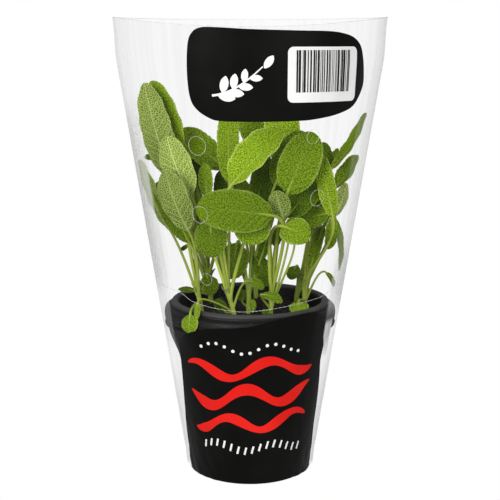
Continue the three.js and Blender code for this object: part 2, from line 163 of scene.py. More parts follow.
class Form:  # points, faces and what they carry, gathered before they are one mesh
    def __init__(self):
        self.points = []
        self.faces = []
        self.finishes = []
        self.space = []
        self.look = []
        self.count = 0

    def add(self, points, faces, finish=0, space=None, look=(0, 0, 0)):  # one finish, or one a list
        points = np.asarray(points, float).reshape(-1, 3)
        self.points.append(points)
        self.space.append(points if space is None else np.asarray(space, float).reshape(-1, 3))
        self.look.append(np.broadcast_to(np.asarray(look, float), (len(points), 3)))
        groups = faces if isinstance(faces, list) else [faces]
        for group, kind in zip(groups, np.broadcast_to(finish, len(groups))):
            self.faces.append(np.asarray(group) + self.count)
            self.finishes.append(np.full(len(group), kind))
        self.count += len(points)

    def addShell(self, outer, inner, faces, finish=0, space=None, look=(0, 0, 0)):  # two skins, walled
        outer, inner = (skin.reshape(-1, 3) for skin in (outer, inner))
        count, corners = len(outer), faces.shape[1]
        edges = np.concatenate([faces[:, [k, (k + 1) % corners]] for k in range(corners)])
        border = edges[~np.isin(edges[:, 0] * count + edges[:, 1], edges[:, 1] * count + edges[:, 0])]
        walls = np.stack([border[:, 0], border[:, 0] + count, border[:, 1] + count, border[:, 1]], -1)
        space = None if space is None else np.tile(space, (2, 1))
        look = np.tile(np.broadcast_to(look, (count, 3)), (2, 1))
        self.add(np.concatenate([outer, inner]), [faces, faces[:, ::-1] + count, walls], finish, space, look)

    def make(self, name, finishes, stands=()):
        mesh = bpy.data.meshes.new(name)
        points = np.concatenate(self.points) * mm
        corners = np.concatenate([faces.ravel() for faces in self.faces])
        sizes = np.concatenate([np.full(len(faces), faces.shape[1]) for faces in self.faces])
        mesh.vertices.add(len(points))
        mesh.vertices.foreach_set("co", points.astype(np.float32).ravel())
        mesh.loops.add(len(corners))
        mesh.loops.foreach_set("vertex_index", corners.astype(np.int32))
        mesh.polygons.add(len(sizes))
        mesh.polygons.foreach_set("loop_start", (np.cumsum(sizes) - sizes).astype(np.int32))
        mesh.polygons.foreach_set("material_index", np.concatenate(self.finishes).astype(np.int32))
        mesh.update(calc_edges=True)
        mesh.polygons.foreach_set("use_smooth", np.full(len(sizes), True))
        mesh.set_sharp_from_angle(angle=math.radians(sharpAngle))
        for field, values in (("space", self.space), ("look", self.look)):
            kept = mesh.attributes.new(field, "FLOAT_VECTOR", "POINT")
            kept.data.foreach_set("vector", np.concatenate(values).astype(np.float32).ravel())
        for finish in finishes:
            mesh.materials.append(finish.material)
        piece = bpy.data.objects.new(name, mesh)
        scene.collection.objects.link(piece)
        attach(piece, "root")
        if stands:
            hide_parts(*stands)
        return piece


def unit(vectors):
    vectors = np.asarray(vectors, float)
    return vectors / np.linalg.norm(vectors, axis=-1, keepdims=True)


def fade(values, low, high):  # 0 below low, 1 above high, smooth between
    share = np.clip((np.asarray(values, float) - low) / (high - low), 0, 1)
    return share * share * (3 - 2 * share)


def around(sides):  # the turns of points set evenly round a circle
    return 2 * np.pi * np.arange(sides) / sides


def travelled(path):  # how far along a path each of its points lies
    return np.concatenate([[0], np.cumsum(np.linalg.norm(np.diff(path, axis=0), axis=1))])


def taper(rod, share):  # a stalk's radius, that share of the way to its tip
    return rod["radius"] + (rod["tipRadius"] - rod["radius"]) * share


def gridFaces(rows, columns, closed=False):
    i, j = np.meshgrid(np.arange(rows - 1), np.arange(columns if closed else columns - 1), indexing="ij")
    after = (j + 1) % columns
    corners = [i * columns + j, i * columns + after, (i + 1) * columns + after, (i + 1) * columns + j]
    return np.stack(corners, -1).reshape(-1, 4)


def bend(start, first, second, end, steps):  # a cubic curve through space or across a drawing
    t = np.linspace(0, 1, steps + 1)[:, None]
    start, first, second, end = (np.asarray(p, float) for p in (start, first, second, end))
    return (1 - t) ** 3 * start + 3 * t * (1 - t) ** 2 * first + 3 * t * t * (1 - t) * second + t ** 3 * end


def smoothPath(points, steps, closed=False):  # a curve through given points
    points = np.asarray(points, float)
    count = len(points)
    spans = count if closed else count - 1
    made = []
    for k in range(spans):
        if closed:
            a, b, c, d = (points[(k + n) % count] for n in (-1, 0, 1, 2))
        else:
            b, c = points[k], points[k + 1]
            a = points[k - 1] if k else 2 * b - c
            d = points[k + 2] if k + 2 < count else 2 * c - b
        for t in np.arange(steps) / steps:
            made.append(0.5 * (2 * b + (c - a) * t + (2 * a - 5 * b + 4 * c - d) * t ** 2
                               + (3 * b - a - 3 * c + d) * t ** 3))
    if not closed:
        made.append(points[-1])
    return np.array(made)


def placeAt(path, share):  # the point at that share of a path's length, and the way it runs there
    lengths = travelled(path)
    wanted = share * lengths[-1]
    k = int(np.clip(np.searchsorted(lengths, wanted) - 1, 0, len(path) - 2))
    run = path[k + 1] - path[k]
    part = (wanted - lengths[k]) / (lengths[k + 1] - lengths[k])
    return path[k] + run * part, unit(run)


def addTube(form, path, radii, sides, finish, look=(0, 0, 0), section=None, upper=None):
    count = len(path)
    run = unit(np.gradient(path, axis=0))
    side = np.cross(run[0], [0.3, 0.9, 0.2] if upper is None else upper)
    turn = around(sides)
    shape = np.ones(sides) if section is None else section(turn)
    points = np.zeros((count, sides, 3))
    for i in range(count):
        side = unit(side - run[i] * (side @ run[i]))
        other = np.cross(run[i], side)
        spread = np.cos(turn)[:, None] * side + np.sin(turn)[:, None] * other
        points[i] = path[i] + radii[i] * shape[:, None] * spread
    space = np.stack(np.broadcast_arrays(travelled(path)[:, None], turn * 3, 0.0), -1)
    ends = [np.arange(sides)[None, ::-1], (count - 1) * sides + np.arange(sides)[None]]
    form.add(points, [gridFaces(count, sides, closed=True), *ends], finish, space, look)


# Camera, at the photograph's viewing angle
view = {"lens": 83.64, "sensor": 36, "back": 732.4, "height": 277, "down": 0.18}
lens = bpy.data.cameras.new("camera")
lens.lens = view["lens"]
lens.sensor_width = view["sensor"]
camera = bpy.data.objects.new("camera", lens)
camera.location = (0, -view["back"] * mm, view["height"] * mm)
camera.rotation_euler = (math.pi / 2 - view["down"], 0, 0)
scene.collection.objects.link(camera)
scene.camera = camera
scene.view_settings.view_transform = "Standard"

# Floor and light, in metres. A lamp is its name, place, size and power.
studio = {
    "reach": 3.0, "around": 0.3, "bounce": 0.4, "aim": (0, 0, 0.16),
    "lamps": [
        ("key", (-0.8, -1.3, 0.6), 0.9, 19),
        ("fill", (0.95, -1.25, 0.5), 1.0, 9.5),
        ("top", (0, -0.2, 1.4), 0.9, 5),
    ],
}


def lightWorld():  # white where the camera sees it, and dimmer as a light
    world = bpy.data.worlds.new("studio")
    world.use_nodes = True
    nodes, links = world.node_tree.nodes, world.node_tree.links
    sky = nodes["Background"].inputs
    sky["Color"].default_value = (1, 1, 1, 1)
    strength = nodes.new("ShaderNodeMapRange")
    strength.inputs["To Min"].default_value = studio["around"]
    links.new(nodes.new("ShaderNodeLightPath").outputs["Is Camera Ray"], strength.inputs["Value"])
    links.new(strength.outputs[0], sky["Strength"])
    scene.world = world


def makeFloor():  # a lit white floor, which gives the object less light than it shows
    finish = Finish("floor", {
        "Base Color": (0, 0, 0, 1), "Roughness": 1, "Specular IOR Level": 0, "Emission Strength": 1,
    })
    seen = finish.node("ShaderNodeLightPath", {}, {}, "Is Camera Ray")
    finish.feed("Emission Color", finish.mix(seen, (*[studio["bounce"]] * 3, 1), (1, 1, 1, 1)))
    reach = studio["reach"]
    corners = [(-reach, -reach, 0), (reach, -reach, 0), (reach, reach, 0), (-reach, reach, 0)]
    mesh = bpy.data.meshes.new("floor")
    mesh.from_pydata(corners, [], [[0, 1, 2, 3]])
    mesh.materials.append(finish.material)
    ground = bpy.data.objects.new("floor", mesh)
    scene.collection.objects.link(ground)


def hangLamps():
    for name, place, size, power in studio["lamps"]:
        lamp = bpy.data.lights.new(name, "AREA")
        lamp.size = size
        lamp.energy = power
        stand = bpy.data.objects.new(name, lamp)
        stand.location = place
        aim = np.array(studio["aim"]) - np.array(place)
        tilt = math.pi - math.acos(aim[2] / np.linalg.norm(aim))
        stand.rotation_euler = (tilt, 0, math.atan2(-aim[0], aim[1]))
        scene.collection.objects.link(stand)


lightWorld()
makeFloor()
hangLamps()
print("studio and camera are in place")

# The leaves' places. Each is [base, tip, face, width, arch, fold, at, shade]: the blade runs from
# base to tip, its upper side looks along face, arch lifts its middle, fold lifts its margins, in
# degrees, at says how far up the main stem its petiole starts, and shade runs from 0, dark, to 1:
# it is the leaf's own tone together with painted light and shade, darker deep in the plant.
# Inner leaves lie deep inside, where they close the gaps between the others, painted dark as shade,
# and a sector is where the leaves at the back spread, in degrees from the right.
toViewer = [0, -1, 0.2]
plants = {
    "plant_left": {
        "stem": [[-30, -8, 90], [-31, -8, 106], [-33, -9, 118]],
        "leaves": [
            [[-48.6, -14, 191.5], [-65.0, -9, 250.1], [0.35, 1, 0.1], 21.5, -3, 8, 0.85, 0.7],
            [[-44.4, -8.5, 206.5], [-61.8, -2, 250.8], [-0.45, -1, 0.1], 22.5, 2, 6, 0.95, 0.6],
            [[-37.4, -29, 160.9], [-51.2, -31, 198.3], [0.5, 1, 0], 20, -3, 8, 0.8, 0.4],
            [[-50.3, -12, 158.7], [-68.6, -10, 202.8], [0.75, 0.7, 0.3], 14.5, -2.2, 8, 0.65, 0.75],
            [[-37.8, -15, 151], [-58, -11, 188.8], [-0.2, -1, 0.5], 16, 3, 20, 0.7, 0.4],
            [[-51.7, -1, 202.9], [-66.9, 1, 203.3], [0.1, -0.8, 0.6], 6.5, 1, 10, 0.9, 0.28],
            [[-36.6, -40, 110.8], [-37.2, -42.5, 99.6], [-0.66, -0.75, 0], 13.5, 0.3, 0, 0.75, 0.45],
            [[-39.4, -5, 147.9], [-44.3, -9, 144.7], [0, -1, 0.5], 2.8, 0.2, 5, 0.95, 0.07],
        ],
    },
    "plant_front": {
        "stem": [[-8.5, -22, 90], [-10.2, -22, 107], [-13.3, -22, 119]],
        "leaves": [
            [[-36.9, -23, 181.7], [-50.5, -24, 218.3], [0.4, 1, 0], 20.7, -3, 10, 0.75, 0.9],
            [[1.5, -30, 168], [1, -43, 154.6], [0, -0.75, 0.66], 22, 3, 5, 0.9, 0.45],
            [[-24, -33, 168.5], [-23.3, -41, 146.6], toViewer, 20, 3, 5, 0.85, 0.25],
            [[-11, -24, 189], [20.5, -23, 221.6], [-0.47, -0.73, 0.48], 28, 1, 34, 1, 0.74],
            [[-27, -16, 180], [-28, -15, 201], toViewer, 9, 1, 10, 0.8, 0.5],
            [[-12.8, -10, 187.6], [-12.8, -5, 239.4], [-0.3, -1, 0], 15, 2, 15, 0.95, 0.52],
            [[-1, -27, 129], [8.5, -31, 125], [0, -0.6, 1], 7, 1.5, 5, 0.66, 0.28],
            [[-31.8, -40.5, 119], [-32.5, -43, 108.8], [-0.6, -0.8, 0], 4.6, 0.3, 0, 0.62, 0.38],
            [[-15.5, -24, 108.7], [-21, -27, 117.5], [-0.3, -1, 0.3], 7, 0.5, 5, 0.6, 0.07],
        ],
    },
    "plant_middle": {
        "stem": [[-1, -14, 90], [-1, -14, 107], [-0.5, -12, 121]],
        "stemPaintedShade": 0.1,
        "inner": [[[-18.3, 2, 169], [-19, 4, 194.3], toViewer, 9, 2, 8, 0.9, 0.06]],
        "leaves": [
            [[-8.2, -7, 149.5], [-12.2, -14, 127.7], [0, -1, 0.3], 18.5, 2, 5, 0.85, 0.27],
            [[3, -2, 140], [11, -9, 122], [0.3, -1, 0.5], 13, 4, 8, 0.9, 0.2],
            [[-5, -4, 111], [-4, -6, 119], toViewer, 7, 1, 8, 0.6, 0.23],
            [[1.9, -22, 108.5], [1.8, -23, 116.5], toViewer, 4, 0.5, 10, 0.62, 0.38],
            [[4, -4, 172], [10, -1, 206], [0.1, -1, 0.3], 14, 2, 10, 1, 0.05],
            [[11.3, -3, 152.5], [6.3, -6, 138.2], [-0.2, -1, 0.1], 6.5, 0.5, 6, 0.8, 0.12],
        ],
    },
    "plant_right_middle": {
        "stem": [[14, -20, 90], [13, -20, 107], [14, -19, 121]],
        "inner": [
            [[23.5, -28, 153], [26, -26, 169], toViewer, 8, 1, 8, 0.5, 0.3],
            [[27.5, -27, 152], [29, -25, 166], toViewer, 7, 1, 8, 0.62, 0.3],
        ],
        "leaves": [
            [[14, -40, 172], [-32, -47, 178], [-0.1, -1, 0.3], 26, 4, 4, 0.8, 0.27],
            [[22.5, -30, 183.9], [38.2, -30, 221.3], [-0.1, -1, 0.15], 25, 3, 6, 0.7, 0.38],
            [[20.2, -31, 169.2], [15.6, -35, 186.4], [0.1, 1, 0], 13.5, -1, 6, 0.9, 0.3],
            [[22.6, -23, 168.6], [45.8, -14, 191.5], [-0.2, -0.9, 0.5], 18, 2, 10, 0.68, 0.12],
            [[19.2, -36, 165.1], [35.4, -43, 157.6], [0.1, -0.8, 0.7], 20, 2, 6, 0.64, 0.45],
            [[18, -8, 160], [16, -11, 148], [-0.4, -1, 0.2], 8, 1, 10, 0.95, 0.1],
            [[15.5, -13, 187], [33, -11, 220.5], [-0.2, -1, 0.3], 19, 2, 10, 0.98, 0.42],
            [[7, -29, 121], [20, -33, 117], [0.1, -0.6, 1], 8, 1.5, 5, 0.62, 0.38],
            [[13.4, -28, 108.7], [7.6, -31.5, 110.2], [0, -0.6, 1], 6, 0.4, 5, 0.6, 0.18],
        ],
    },
    "plant_right": {
        "stem": [[35, 1, 90], [35.3, 0, 107], [34.8, 0, 120]],
        "leaves": [
            [[51.2, -26, 168.2], [43.7, -26, 207.3], [-0.4, -1, 0.15], 12, 1, 10, 1, 0.6],
            [[49, -13, 169.4], [28.9, -13, 163.5], [-0.1, -1, 0.6], 15, 2, 8, 0.85, 0.28],
            [[53, -8, 167], [61, -2, 187], [-0.6, 0.8, 0.2], 11, -1.5, 12, 0.9, 0.95],
            [[54.2, -2, 184.3], [68, 2, 204.5], [-0.7, -0.6, 0.4], 15, -2, 25, 0.95, 0.5],
            [[51.5, 6, 195], [73.2, 6, 230.8], [-1, -0.6, 0.6], 11.5, -3.5, 22, 1, 0.75],
            [[51, -15, 167], [49, -15, 147], [0.4, -1, 0.2], 9, 2, 15, 0.75, 0.38],
            [[54, -6, 165], [57, -3, 131], [0.9, -0.6, 0.3], 8, 2, 15, 0.7, 0.38],
            [[38.5, -5.5, 132], [46.9, -6.5, 160.5], [-0.5, -1, 0.2], 9, 1, 32, 0.75, 0.33],
            [[49, 0, 129], [54, -1, 120], [0.6, -0.5, 0.8], 6, 1, 10, 0.62, 0.28],
            [[30.6, -19.5, 114.5], [30.8, -28, 108.6], [-0.1, -1, 0.6], 12, 1.2, 0, 0.66, 0.4],
        ],
    },
    "plant_back_left": {
        "stem": [[-26, 20, 90], [-26, 20, 107], [-27, 18, 121]],
        "stemPaintedShade": 0.15,
        "sector": (112, 215),
        "inner": [[[-33.4, 7, 180], [-37.5, 9, 207.3], toViewer, 14, 2, 8, 0.9, 0.12]],
        "leaves": [
            [[-16.4, 2, 196], [-44.8, 8, 219.7], [-0.2, -0.9, 0.5], 18.5, 3, 8, 1, 0.46],
            [[-28.8, 15, 198], [-30.4, 15, 217.7], toViewer, 9, 1, 10, 0.9, 0.23],
            [[-28, 9, 125], [-25.5, 4, 113], [0.2, -0.8, 0.6], 12.5, 1.5, 0, 0.66, 0.4],
            [[-36.5, 12.5, 114], [-47, 14.5, 115], [0, -0.4, 1], 6, 0.5, 5, 0.62, 0.23],
        ],
    },
    "plant_back_middle": {
        "stem": [[4, 28, 90], [4, 28, 107], [3, 26, 121]],
        "stemPaintedShade": 0.15,
        "sector": (58, 128),
        "inner": [[[19, 2, 168], [18, 4, 193], toViewer, 13, 2, 8, 0.9, 0.06]],
        "leaves": [
            [[8, 20, 203], [-5, 25, 236], toViewer, 17, 2, 8, 1, 0.58],
            [[20.5, 8, 198], [20, 10, 241], toViewer, 23, 2, 6, 0.9, 1.0],
            [[13, 12, 165], [15, 10, 200], [0.2, -1, 0.4], 14, 2, 8, 0.8, 0.2],
        ],
    },
    "plant_back_right": {
        "stem": [[31, 24, 90], [31, 24, 107], [33, 23, 120]],
        "stemPaintedShade": 0.2,
        "sector": (-20, 62),
        "leaves": [
            [[51.7, 15, 194.2], [47.0, 16, 211.3], [-0.2, -1, 0.2], 8.5, 1, 8, 1, 0.23],
            [[51.0, 20, 194.9], [57.1, 21, 206.8], [0.3, -1, 0.4], 5, 1, 8, 0.9, 0.51],
            [[30.6, 19, 129.7], [26.9, 12, 121.9], [-0.3, -0.8, 0.6], 9, 1.5, 0, 0.62, 0.2],
        ],
    },
}
# The leaves at the back are painted dark, as shade, by their low shade value.
backLeaf = {
    "count": 5, "length": 38, "longer": 6, "longerStep": 2.4, "width": 19, "arch": 3, "fold": 10,
    "petiole": 40, "petioleRise": 70, "bladeRise": 50, "steeper": 3, "clearOfFilm": 4,
    "firstAt": 0.5, "step": 0.11, "spread": 0.618, "paintedShade": 0.18,
}

# The sleeve's film, as a place on its cone: angle in degrees from the front, and height
film = {
    "footRadius": 39, "topRadius": 86, "height": 290, "dip": 6.5, "foot": 1, "thickness": 0.12, "lift": 0.15,
    "columns": 288, "rows": 132,
    "seam": 1.3, "seamWidth": 3.5,  # how far the side folds stand out, and over how many degrees
    "tuck": 2.3, "tuckFrom": 262,  # how far, and from what height, the top turns in
    "folds": [  # angle, width and depth
        (-62, 7, 0.7), (-38, 5, 0.35), (47, 4, 0.4), (66, 6, 0.8),
        (128, 8, 0.7), (165, 5, 0.4), (-140, 7, 0.6),
    ],
    "foldsFrom": (20, 150), "sway": 3, "swayPitch": 47,
    "pushed": {"angle": -45, "height": 101, "out": 1.7, "wide": 10, "tall": 10},  # by the leaf over the rim
    "crumple": 0.55, "crumpleHeight": 34,
    "plain": 0.01, "bands": 0.024, "streaks": 0.012, "rim": 0.05,  # how much of the light each stops
}
filmBands = [  # how grey the film looks around the sleeve, from the back by the left side to the back again
    (0.0, 0.3), (0.2, 0.5), (0.265, 0.75), (0.3, 0.35), (0.335, 0.8), (0.375, 0.7), (0.39, 0.2), (0.43, 0.45),
    (0.5, 0.15), (0.62, 0.2), (0.655, 0.6), (0.67, 0.4), (0.69, 1.6), (0.735, 2.4), (0.8, 0.5), (1.0, 0.3),
]
hazeAndGlare = {  # where the film looks milky, partly its own haze and partly painted glare where light catches it: the angles and heights between which it comes in or goes
    "left": (57.5, 60), "leftFrom": (112, 130), "leftShare": 0.88, "leftFades": (205, 245), "leftFade": 0.75,
    "low": (70, 100), "lowShare": 0.3,
    "right": (55, 58), "rightFrom": (100, 122), "rightFades": (125, 155), "rightFade": 0.75,
    # the strip is a painted highlight: a bright band on the film beside the pot's rim, right of the label
    "highlightStrip": (56.2, 57.4), "stripEnds": (64, 68), "stripFrom": (78, 88), "stripTo": (101, 106),
    "stripShare": 2.6, "back": (98, 118), "most": 0.24,
    "foot": (35, 90), "footSides": (58, 76), "footShare": 0.06,  # grey beside the pot
}
vents = [  # sideways place, height and radius
    (-30.3, 216.6, 5.4), (36.1, 221.6, 4.1), (-29.2, 175.7, 5.1), (39.3, 185.1, 4.9), (-25.9, 136.1, 3.7),
]


def filmRadius(height):
    return film["footRadius"] + (film["topRadius"] - film["footRadius"]) * height / film["height"]


def perDegree(height):  # millimetres around the film in one degree
    return math.radians(1) * filmRadius(height)


def filmTop(angle):  # the top edge dips at the front
    return film["height"] - film["dip"] * np.clip(np.cos(np.radians(angle)), 0, 1) ** 2


def filmAngles():  # the angles of the film's columns of points, from the back round to the back
    return -180 + 360 * np.arange(film["columns"]) / film["columns"]


def filmOut(angle, height):  # how far the film stands out from its plain cone
    angle = (np.asarray(angle, float) + 180) % 360 - 180
    turn = np.radians(angle)
    out = film["seam"] * np.exp(-np.abs(np.abs(angle) - 90) / film["seamWidth"])
    out = out - film["tuck"] * fade(height, film["tuckFrom"], film["height"]) * np.abs(np.sin(turn))
    for place, wide, deep in film["folds"]:
        sway = place + film["sway"] * np.sin(height / film["swayPitch"] + place)
        out = out + deep * np.exp(-((angle - sway) / wide) ** 2) * fade(height, *film["foldsFrom"])
    pushed = film["pushed"]
    across = (angle - pushed["angle"]) / pushed["wide"]
    up = (height - pushed["height"]) / pushed["tall"]
    out = out + pushed["out"] * np.exp(-across ** 2 - up ** 2)
    crumple = np.sin(7 * turn + height / 9) + np.sin(11 * turn - height / 6 + 1)
    crumple = np.abs(crumple + 0.7 * np.sin(19 * turn + height / 4)) / 2
    return out + film["crumple"] * crumple * np.exp(-height / film["crumpleHeight"])


def filmPoint(angle, height, lift=0.0):
    angle, height = np.broadcast_arrays(np.asarray(angle, float), np.asarray(height, float))
    radius = filmRadius(height) + filmOut(angle, height) + film["lift"] + lift
    turn = np.radians(angle)
    return np.stack([radius * np.sin(turn), -radius * np.cos(turn), height], -1)


def insideFilm(points, clear):  # pulls in what would stand through the film
    out = np.linalg.norm(points[..., :2], axis=-1)
    angle = np.degrees(np.arctan2(points[..., 0], -points[..., 1]))
    limit = filmRadius(points[..., 2]) + filmOut(angle, points[..., 2]) - clear
    share = np.where(out > limit, limit / np.maximum(out, 1e-6), 1)
    return points * np.stack([share, share, np.ones_like(share)], -1)


# Leaves
leaf = {
    "neck": 0.9, "end": 0.7, "widest": 0.47, "full": 2.3, "blunt": 0.62, "tipBlunt": 0.52,
    "thickness": 0.55, "edge": 0.28,
    "tooth": 0.6, "toothPitch": 1.9, "toothRound": 0.7, "toothIn": 0.6,
    "toothFrom": (0.02, 0.1), "toothTo": (0.93, 1),
    "veinSpacing": 4.4, "veinSlope": 0.85, "veinDepth": 0.3, "veinWidth": 0.55, "puff": 0.2,
    "margin": (0.72, 0.97), "besideRib": (0.3, 1.6),  # where the veins and cushions fade out
    "ribDepth": 0.3, "ribWidth": 0.8, "ribStands": 0.75,
    "wave": 0.75, "waveLength": 13, "droop": 1.1, "twist": 9, "twistFrom": 0.25,
    "fineStep": 0.62, "step": 1.0, "fineWidth": 19, "usualWidth": 24, "rows": 12, "columns": 4,
    "filmClear": 0.3, "apart": 17.0, "toneSpread": 0.06,
}
petiole = {
    "radius": 1.2, "tipRadius": 0.85, "reach": 0.28, "lowReach": 0.18, "low": 122, "lean": 0.7,
    "seat": 9, "seatMost": 0.35, "seatPoints": 5, "seatEnd": 0.45,  # the stretch that runs under the blade
    "slim": 0.5, "fullWidth": 40, "swell": 0.35, "swellOver": 0.04,
    "channel": 0.28, "channelWidth": 0.55, "sides": 10, "steps": 16, "filmClear": 1.2,
}
# A stem's shade is painted light and shade: the stems deep in the plant are painted darker, as shade.
mainStem = {
    "radius": 1.7, "tipRadius": 1.3, "sides": 14, "steps": 14, "square": 0.09, "knot": 0.12, "knots": 5,
    "paintedShade": 0.5,
}
# The young leaves at the stem tips, deep in the plant, are painted dark, as shade.
bud = {
    "leaves": 4, "length": 9, "shorter": 0.12, "width": 3.6, "lean": 0.55,
    "at": 0.97, "turn": 2.4, "stray": 0.3, "paintedShade": 0.3, "off": 0.6, "faceUp": 0.3, "arch": 0.5, "fold": 20,
}


def bladeProfile(along):
    side = np.where(along < leaf["widest"], along / leaf["widest"], (1 - along) / (1 - leaf["widest"]))
    blunt = np.where(along < leaf["widest"], leaf["blunt"], leaf["tipBlunt"])
    return (1 - (1 - np.clip(side, 0, 1)) ** leaf["full"]) ** blunt


def ribOf(row):
    base, tip, face = (np.array(v, float) for v in row[:3])
    middle = (base + tip) / 2 + unit(face) * 2 * row[4]

    def at(t):
        t = np.asarray(t, float)[..., None]
        return (1 - t) ** 2 * base + 2 * t * (1 - t) * middle + t * t * tip

    def run(t):
        t = np.asarray(t, float)[..., None]
        return unit((1 - t) * (middle - base) + t * (tip - middle))

    return at, run


def bladeHalf(t, along, width):  # half the blade's width, with its teeth
    scallop = np.abs(np.sin(np.pi * along / leaf["toothPitch"])) ** leaf["toothRound"] - leaf["toothIn"]
    toothed = fade(t, *leaf["toothFrom"]) * (1 - fade(t, *leaf["toothTo"]))
    half = width / 2 * bladeProfile(t) + leaf["tooth"] * scallop * toothed
    return np.maximum(half, leaf["neck"] * (1 - t) + leaf["end"] * t)


def bladeWays(row, t, twist):  # the blade's middle line, and the ways across it and out of it
    at, run = ribOf(row)
    across = unit(np.cross(run(t), unit(row[2])))
    out = unit(np.cross(across, run(t)))
    turn = (twist * (t - leaf["twistFrom"]))[:, None]
    return at(t), across * np.cos(turn) + out * np.sin(turn), out * np.cos(turn) - across * np.sin(turn)


def bladeRelief(along, x, s, size):  # sunken side veins, and the cushions between them
    cycle = (along - leaf["veinSlope"] * np.abs(x)) / (leaf["veinSpacing"] * max(0.6, size ** 0.5))
    away = np.abs(cycle - np.round(cycle)) * leaf["veinSpacing"]
    relief = -leaf["veinDepth"] * np.exp(-(away / leaf["veinWidth"]) ** 2)
    relief = relief - leaf["puff"] * np.cos(2 * np.pi * cycle)
    inner = (1 - fade(np.abs(s), *leaf["margin"])) * fade(np.abs(x), *leaf["besideRib"])
    return relief * inner * size ** 0.5


def addBlade(form, row, number, chance, toneAndShade):
    width, fold = row[3], math.radians(row[5])
    line = ribOf(row)[0](np.linspace(0, 1, 60))
    length = np.linalg.norm(np.diff(line, axis=0), axis=1).sum()
    step = leaf["fineStep"] if width >= leaf["fineWidth"] else leaf["step"]
    rows = max(leaf["rows"], math.ceil(length / step))
    columns = 2 * max(leaf["columns"], math.ceil(width / 2 / step))
    even = np.linspace(0, 1, rows + 1)
    t = (even + (1 - np.cos(np.pi * even)) / 2) / 2  # closer together at both ends
    s = np.linspace(-1, 1, columns + 1)
    along = t[:, None] * length
    size = width / leaf["usualWidth"]
    x = bladeHalf(t, t * length, width)[:, None] * s
    middle, across, out = bladeWays(row, t, np.radians(leaf["twist"]) * chance.uniform(-1, 1))
    phase = chance.uniform(0, 6) + np.where(s > 0, 2.2, 0)
    wave = leaf["wave"] * size * np.abs(s) ** 3 * np.sin(2 * np.pi * along / leaf["waveLength"] + phase)
    droop = leaf["droop"] * size * chance.uniform(0.2, 1) * s * s
    lift = (np.sqrt(x * x + 0.5) - 0.7) * math.sin(fold) + wave - droop  # rounded at the rib
    points = middle[:, None] + across[:, None] * (x * math.cos(fold))[..., None]
    points = points + out[:, None] * lift[..., None]
    normal = unit(np.cross(np.gradient(points, axis=1), np.gradient(points, axis=0)))
    relief = bladeRelief(along, x, s, size)
    rib = np.exp(-(x / leaf["ribWidth"]) ** 2) * (1 - t[:, None]) ** 0.6 * size ** 0.5
    thick = leaf["edge"] + (leaf["thickness"] - leaf["edge"]) * np.sqrt(np.clip(1 - s * s, 0, 1))
    upper = points + normal * (relief - leaf["ribDepth"] * rib + thick / 2)[..., None]
    under = points + normal * (relief - leaf["ribStands"] * rib - thick / 2)[..., None]
    upper, under = (insideFilm(skin, leaf["filmClear"]) for skin in (upper, under))
    space = np.stack(np.broadcast_arrays(along, x, number * leaf["apart"]), -1).reshape(-1, 3)
    look = np.stack(np.broadcast_arrays(t[:, None], np.abs(s), toneAndShade), -1).reshape(-1, 3)
    form.addShell(upper, under, gridFaces(rows + 1, columns + 1), (0, 1, 1), space, look)


def addPetiole(form, row, stem, toneAndShade):
    base, width = np.array(row[0], float), row[3]
    start, up = placeAt(stem, row[6])
    at, run = ribOf(row)
    reach = np.linalg.norm(base - start) * petiole["lowReach" if base[2] < petiole["low"] else "reach"]
    way = up + (unit(base - start) - up) * petiole["lean"]
    path = bend(start, start + way * reach, base - run(0.0) * reach, base, petiole["steps"])
    length = np.linalg.norm(np.array(row[1], float) - base)
    last = min(petiole["seatMost"], petiole["seat"] / length)
    seated = petiole["seatPoints"]
    path = np.concatenate([path, at(np.linspace(0, last, seated)[1:])])
    share = np.linspace(0, 1, len(path))
    size = min(1, petiole["slim"] + width / petiole["fullWidth"])
    radii = size * taper(petiole, share)
    radii = radii * (1 + petiole["swell"] * np.exp(-share / petiole["swellOver"]))  # where it meets the stem
    radii[-seated:] *= np.linspace(1, petiole["seatEnd"], seated)
    path = insideFilm(path, petiole["filmClear"])
    addTube(form, path, radii, petiole["sides"], 2, (0, 0, toneAndShade), channel, unit(row[2]))


def channel(turn):  # a petiole's section, with a shallow channel along its upper side
    return 1 - petiole["channel"] * np.exp(-((turn - np.pi / 2) / petiole["channelWidth"]) ** 2)


def leaningLeaf(stem, at, turn, length):  # one leaf at the back, leaning out but clear of the film
    out = np.array([math.cos(turn), math.sin(turn), 0])
    up = np.array([0, 0, 1.0])

    def way(rise):
        return out * math.cos(rise) + up * math.sin(rise)

    base = placeAt(stem, at)[0] + way(math.radians(backLeaf["petioleRise"])) * backLeaf["petiole"]
    rise = math.radians(backLeaf["bladeRise"])
    tip = base + way(rise) * length
    while math.hypot(tip[0], tip[1]) > filmRadius(tip[2]) - backLeaf["clearOfFilm"] and rise < math.pi / 2:
        rise += math.radians(backLeaf["steeper"])
        tip = base + way(rise) * length
    face = up * math.cos(rise) - out * math.sin(rise)
    return [base, tip, face, backLeaf["width"], backLeaf["arch"], backLeaf["fold"], at, backLeaf["paintedShade"]]


def backLeaves(stem, low, high):
    rows = []
    for k in range(backLeaf["count"]):
        turn = math.radians(low + (high - low) * ((k + 0.5) * backLeaf["spread"] % 1))
        length = backLeaf["length"] + backLeaf["longer"] * math.sin(backLeaf["longerStep"] * k)
        rows.append(leaningLeaf(stem, backLeaf["firstAt"] + backLeaf["step"] * k, turn, length))
    return rows


def budLeaves(stem, chance):  # the young leaves at the tip of a main stem
    rows = []
    place, up = placeAt(stem, bud["at"])
    for k in range(bud["leaves"]):
        turn = k * bud["turn"] + chance.uniform(-bud["stray"], bud["stray"])
        out = np.array([math.cos(turn), math.sin(turn), 0])
        tip = place + unit(up + out * bud["lean"]) * bud["length"] * (1 - bud["shorter"] * k)
        base, face = place + out * bud["off"], -out + bud["faceUp"] * up
        rows.append([base, tip, face, *(bud[name] for name in ("width", "arch", "fold", "at", "paintedShade"))])
    return rows


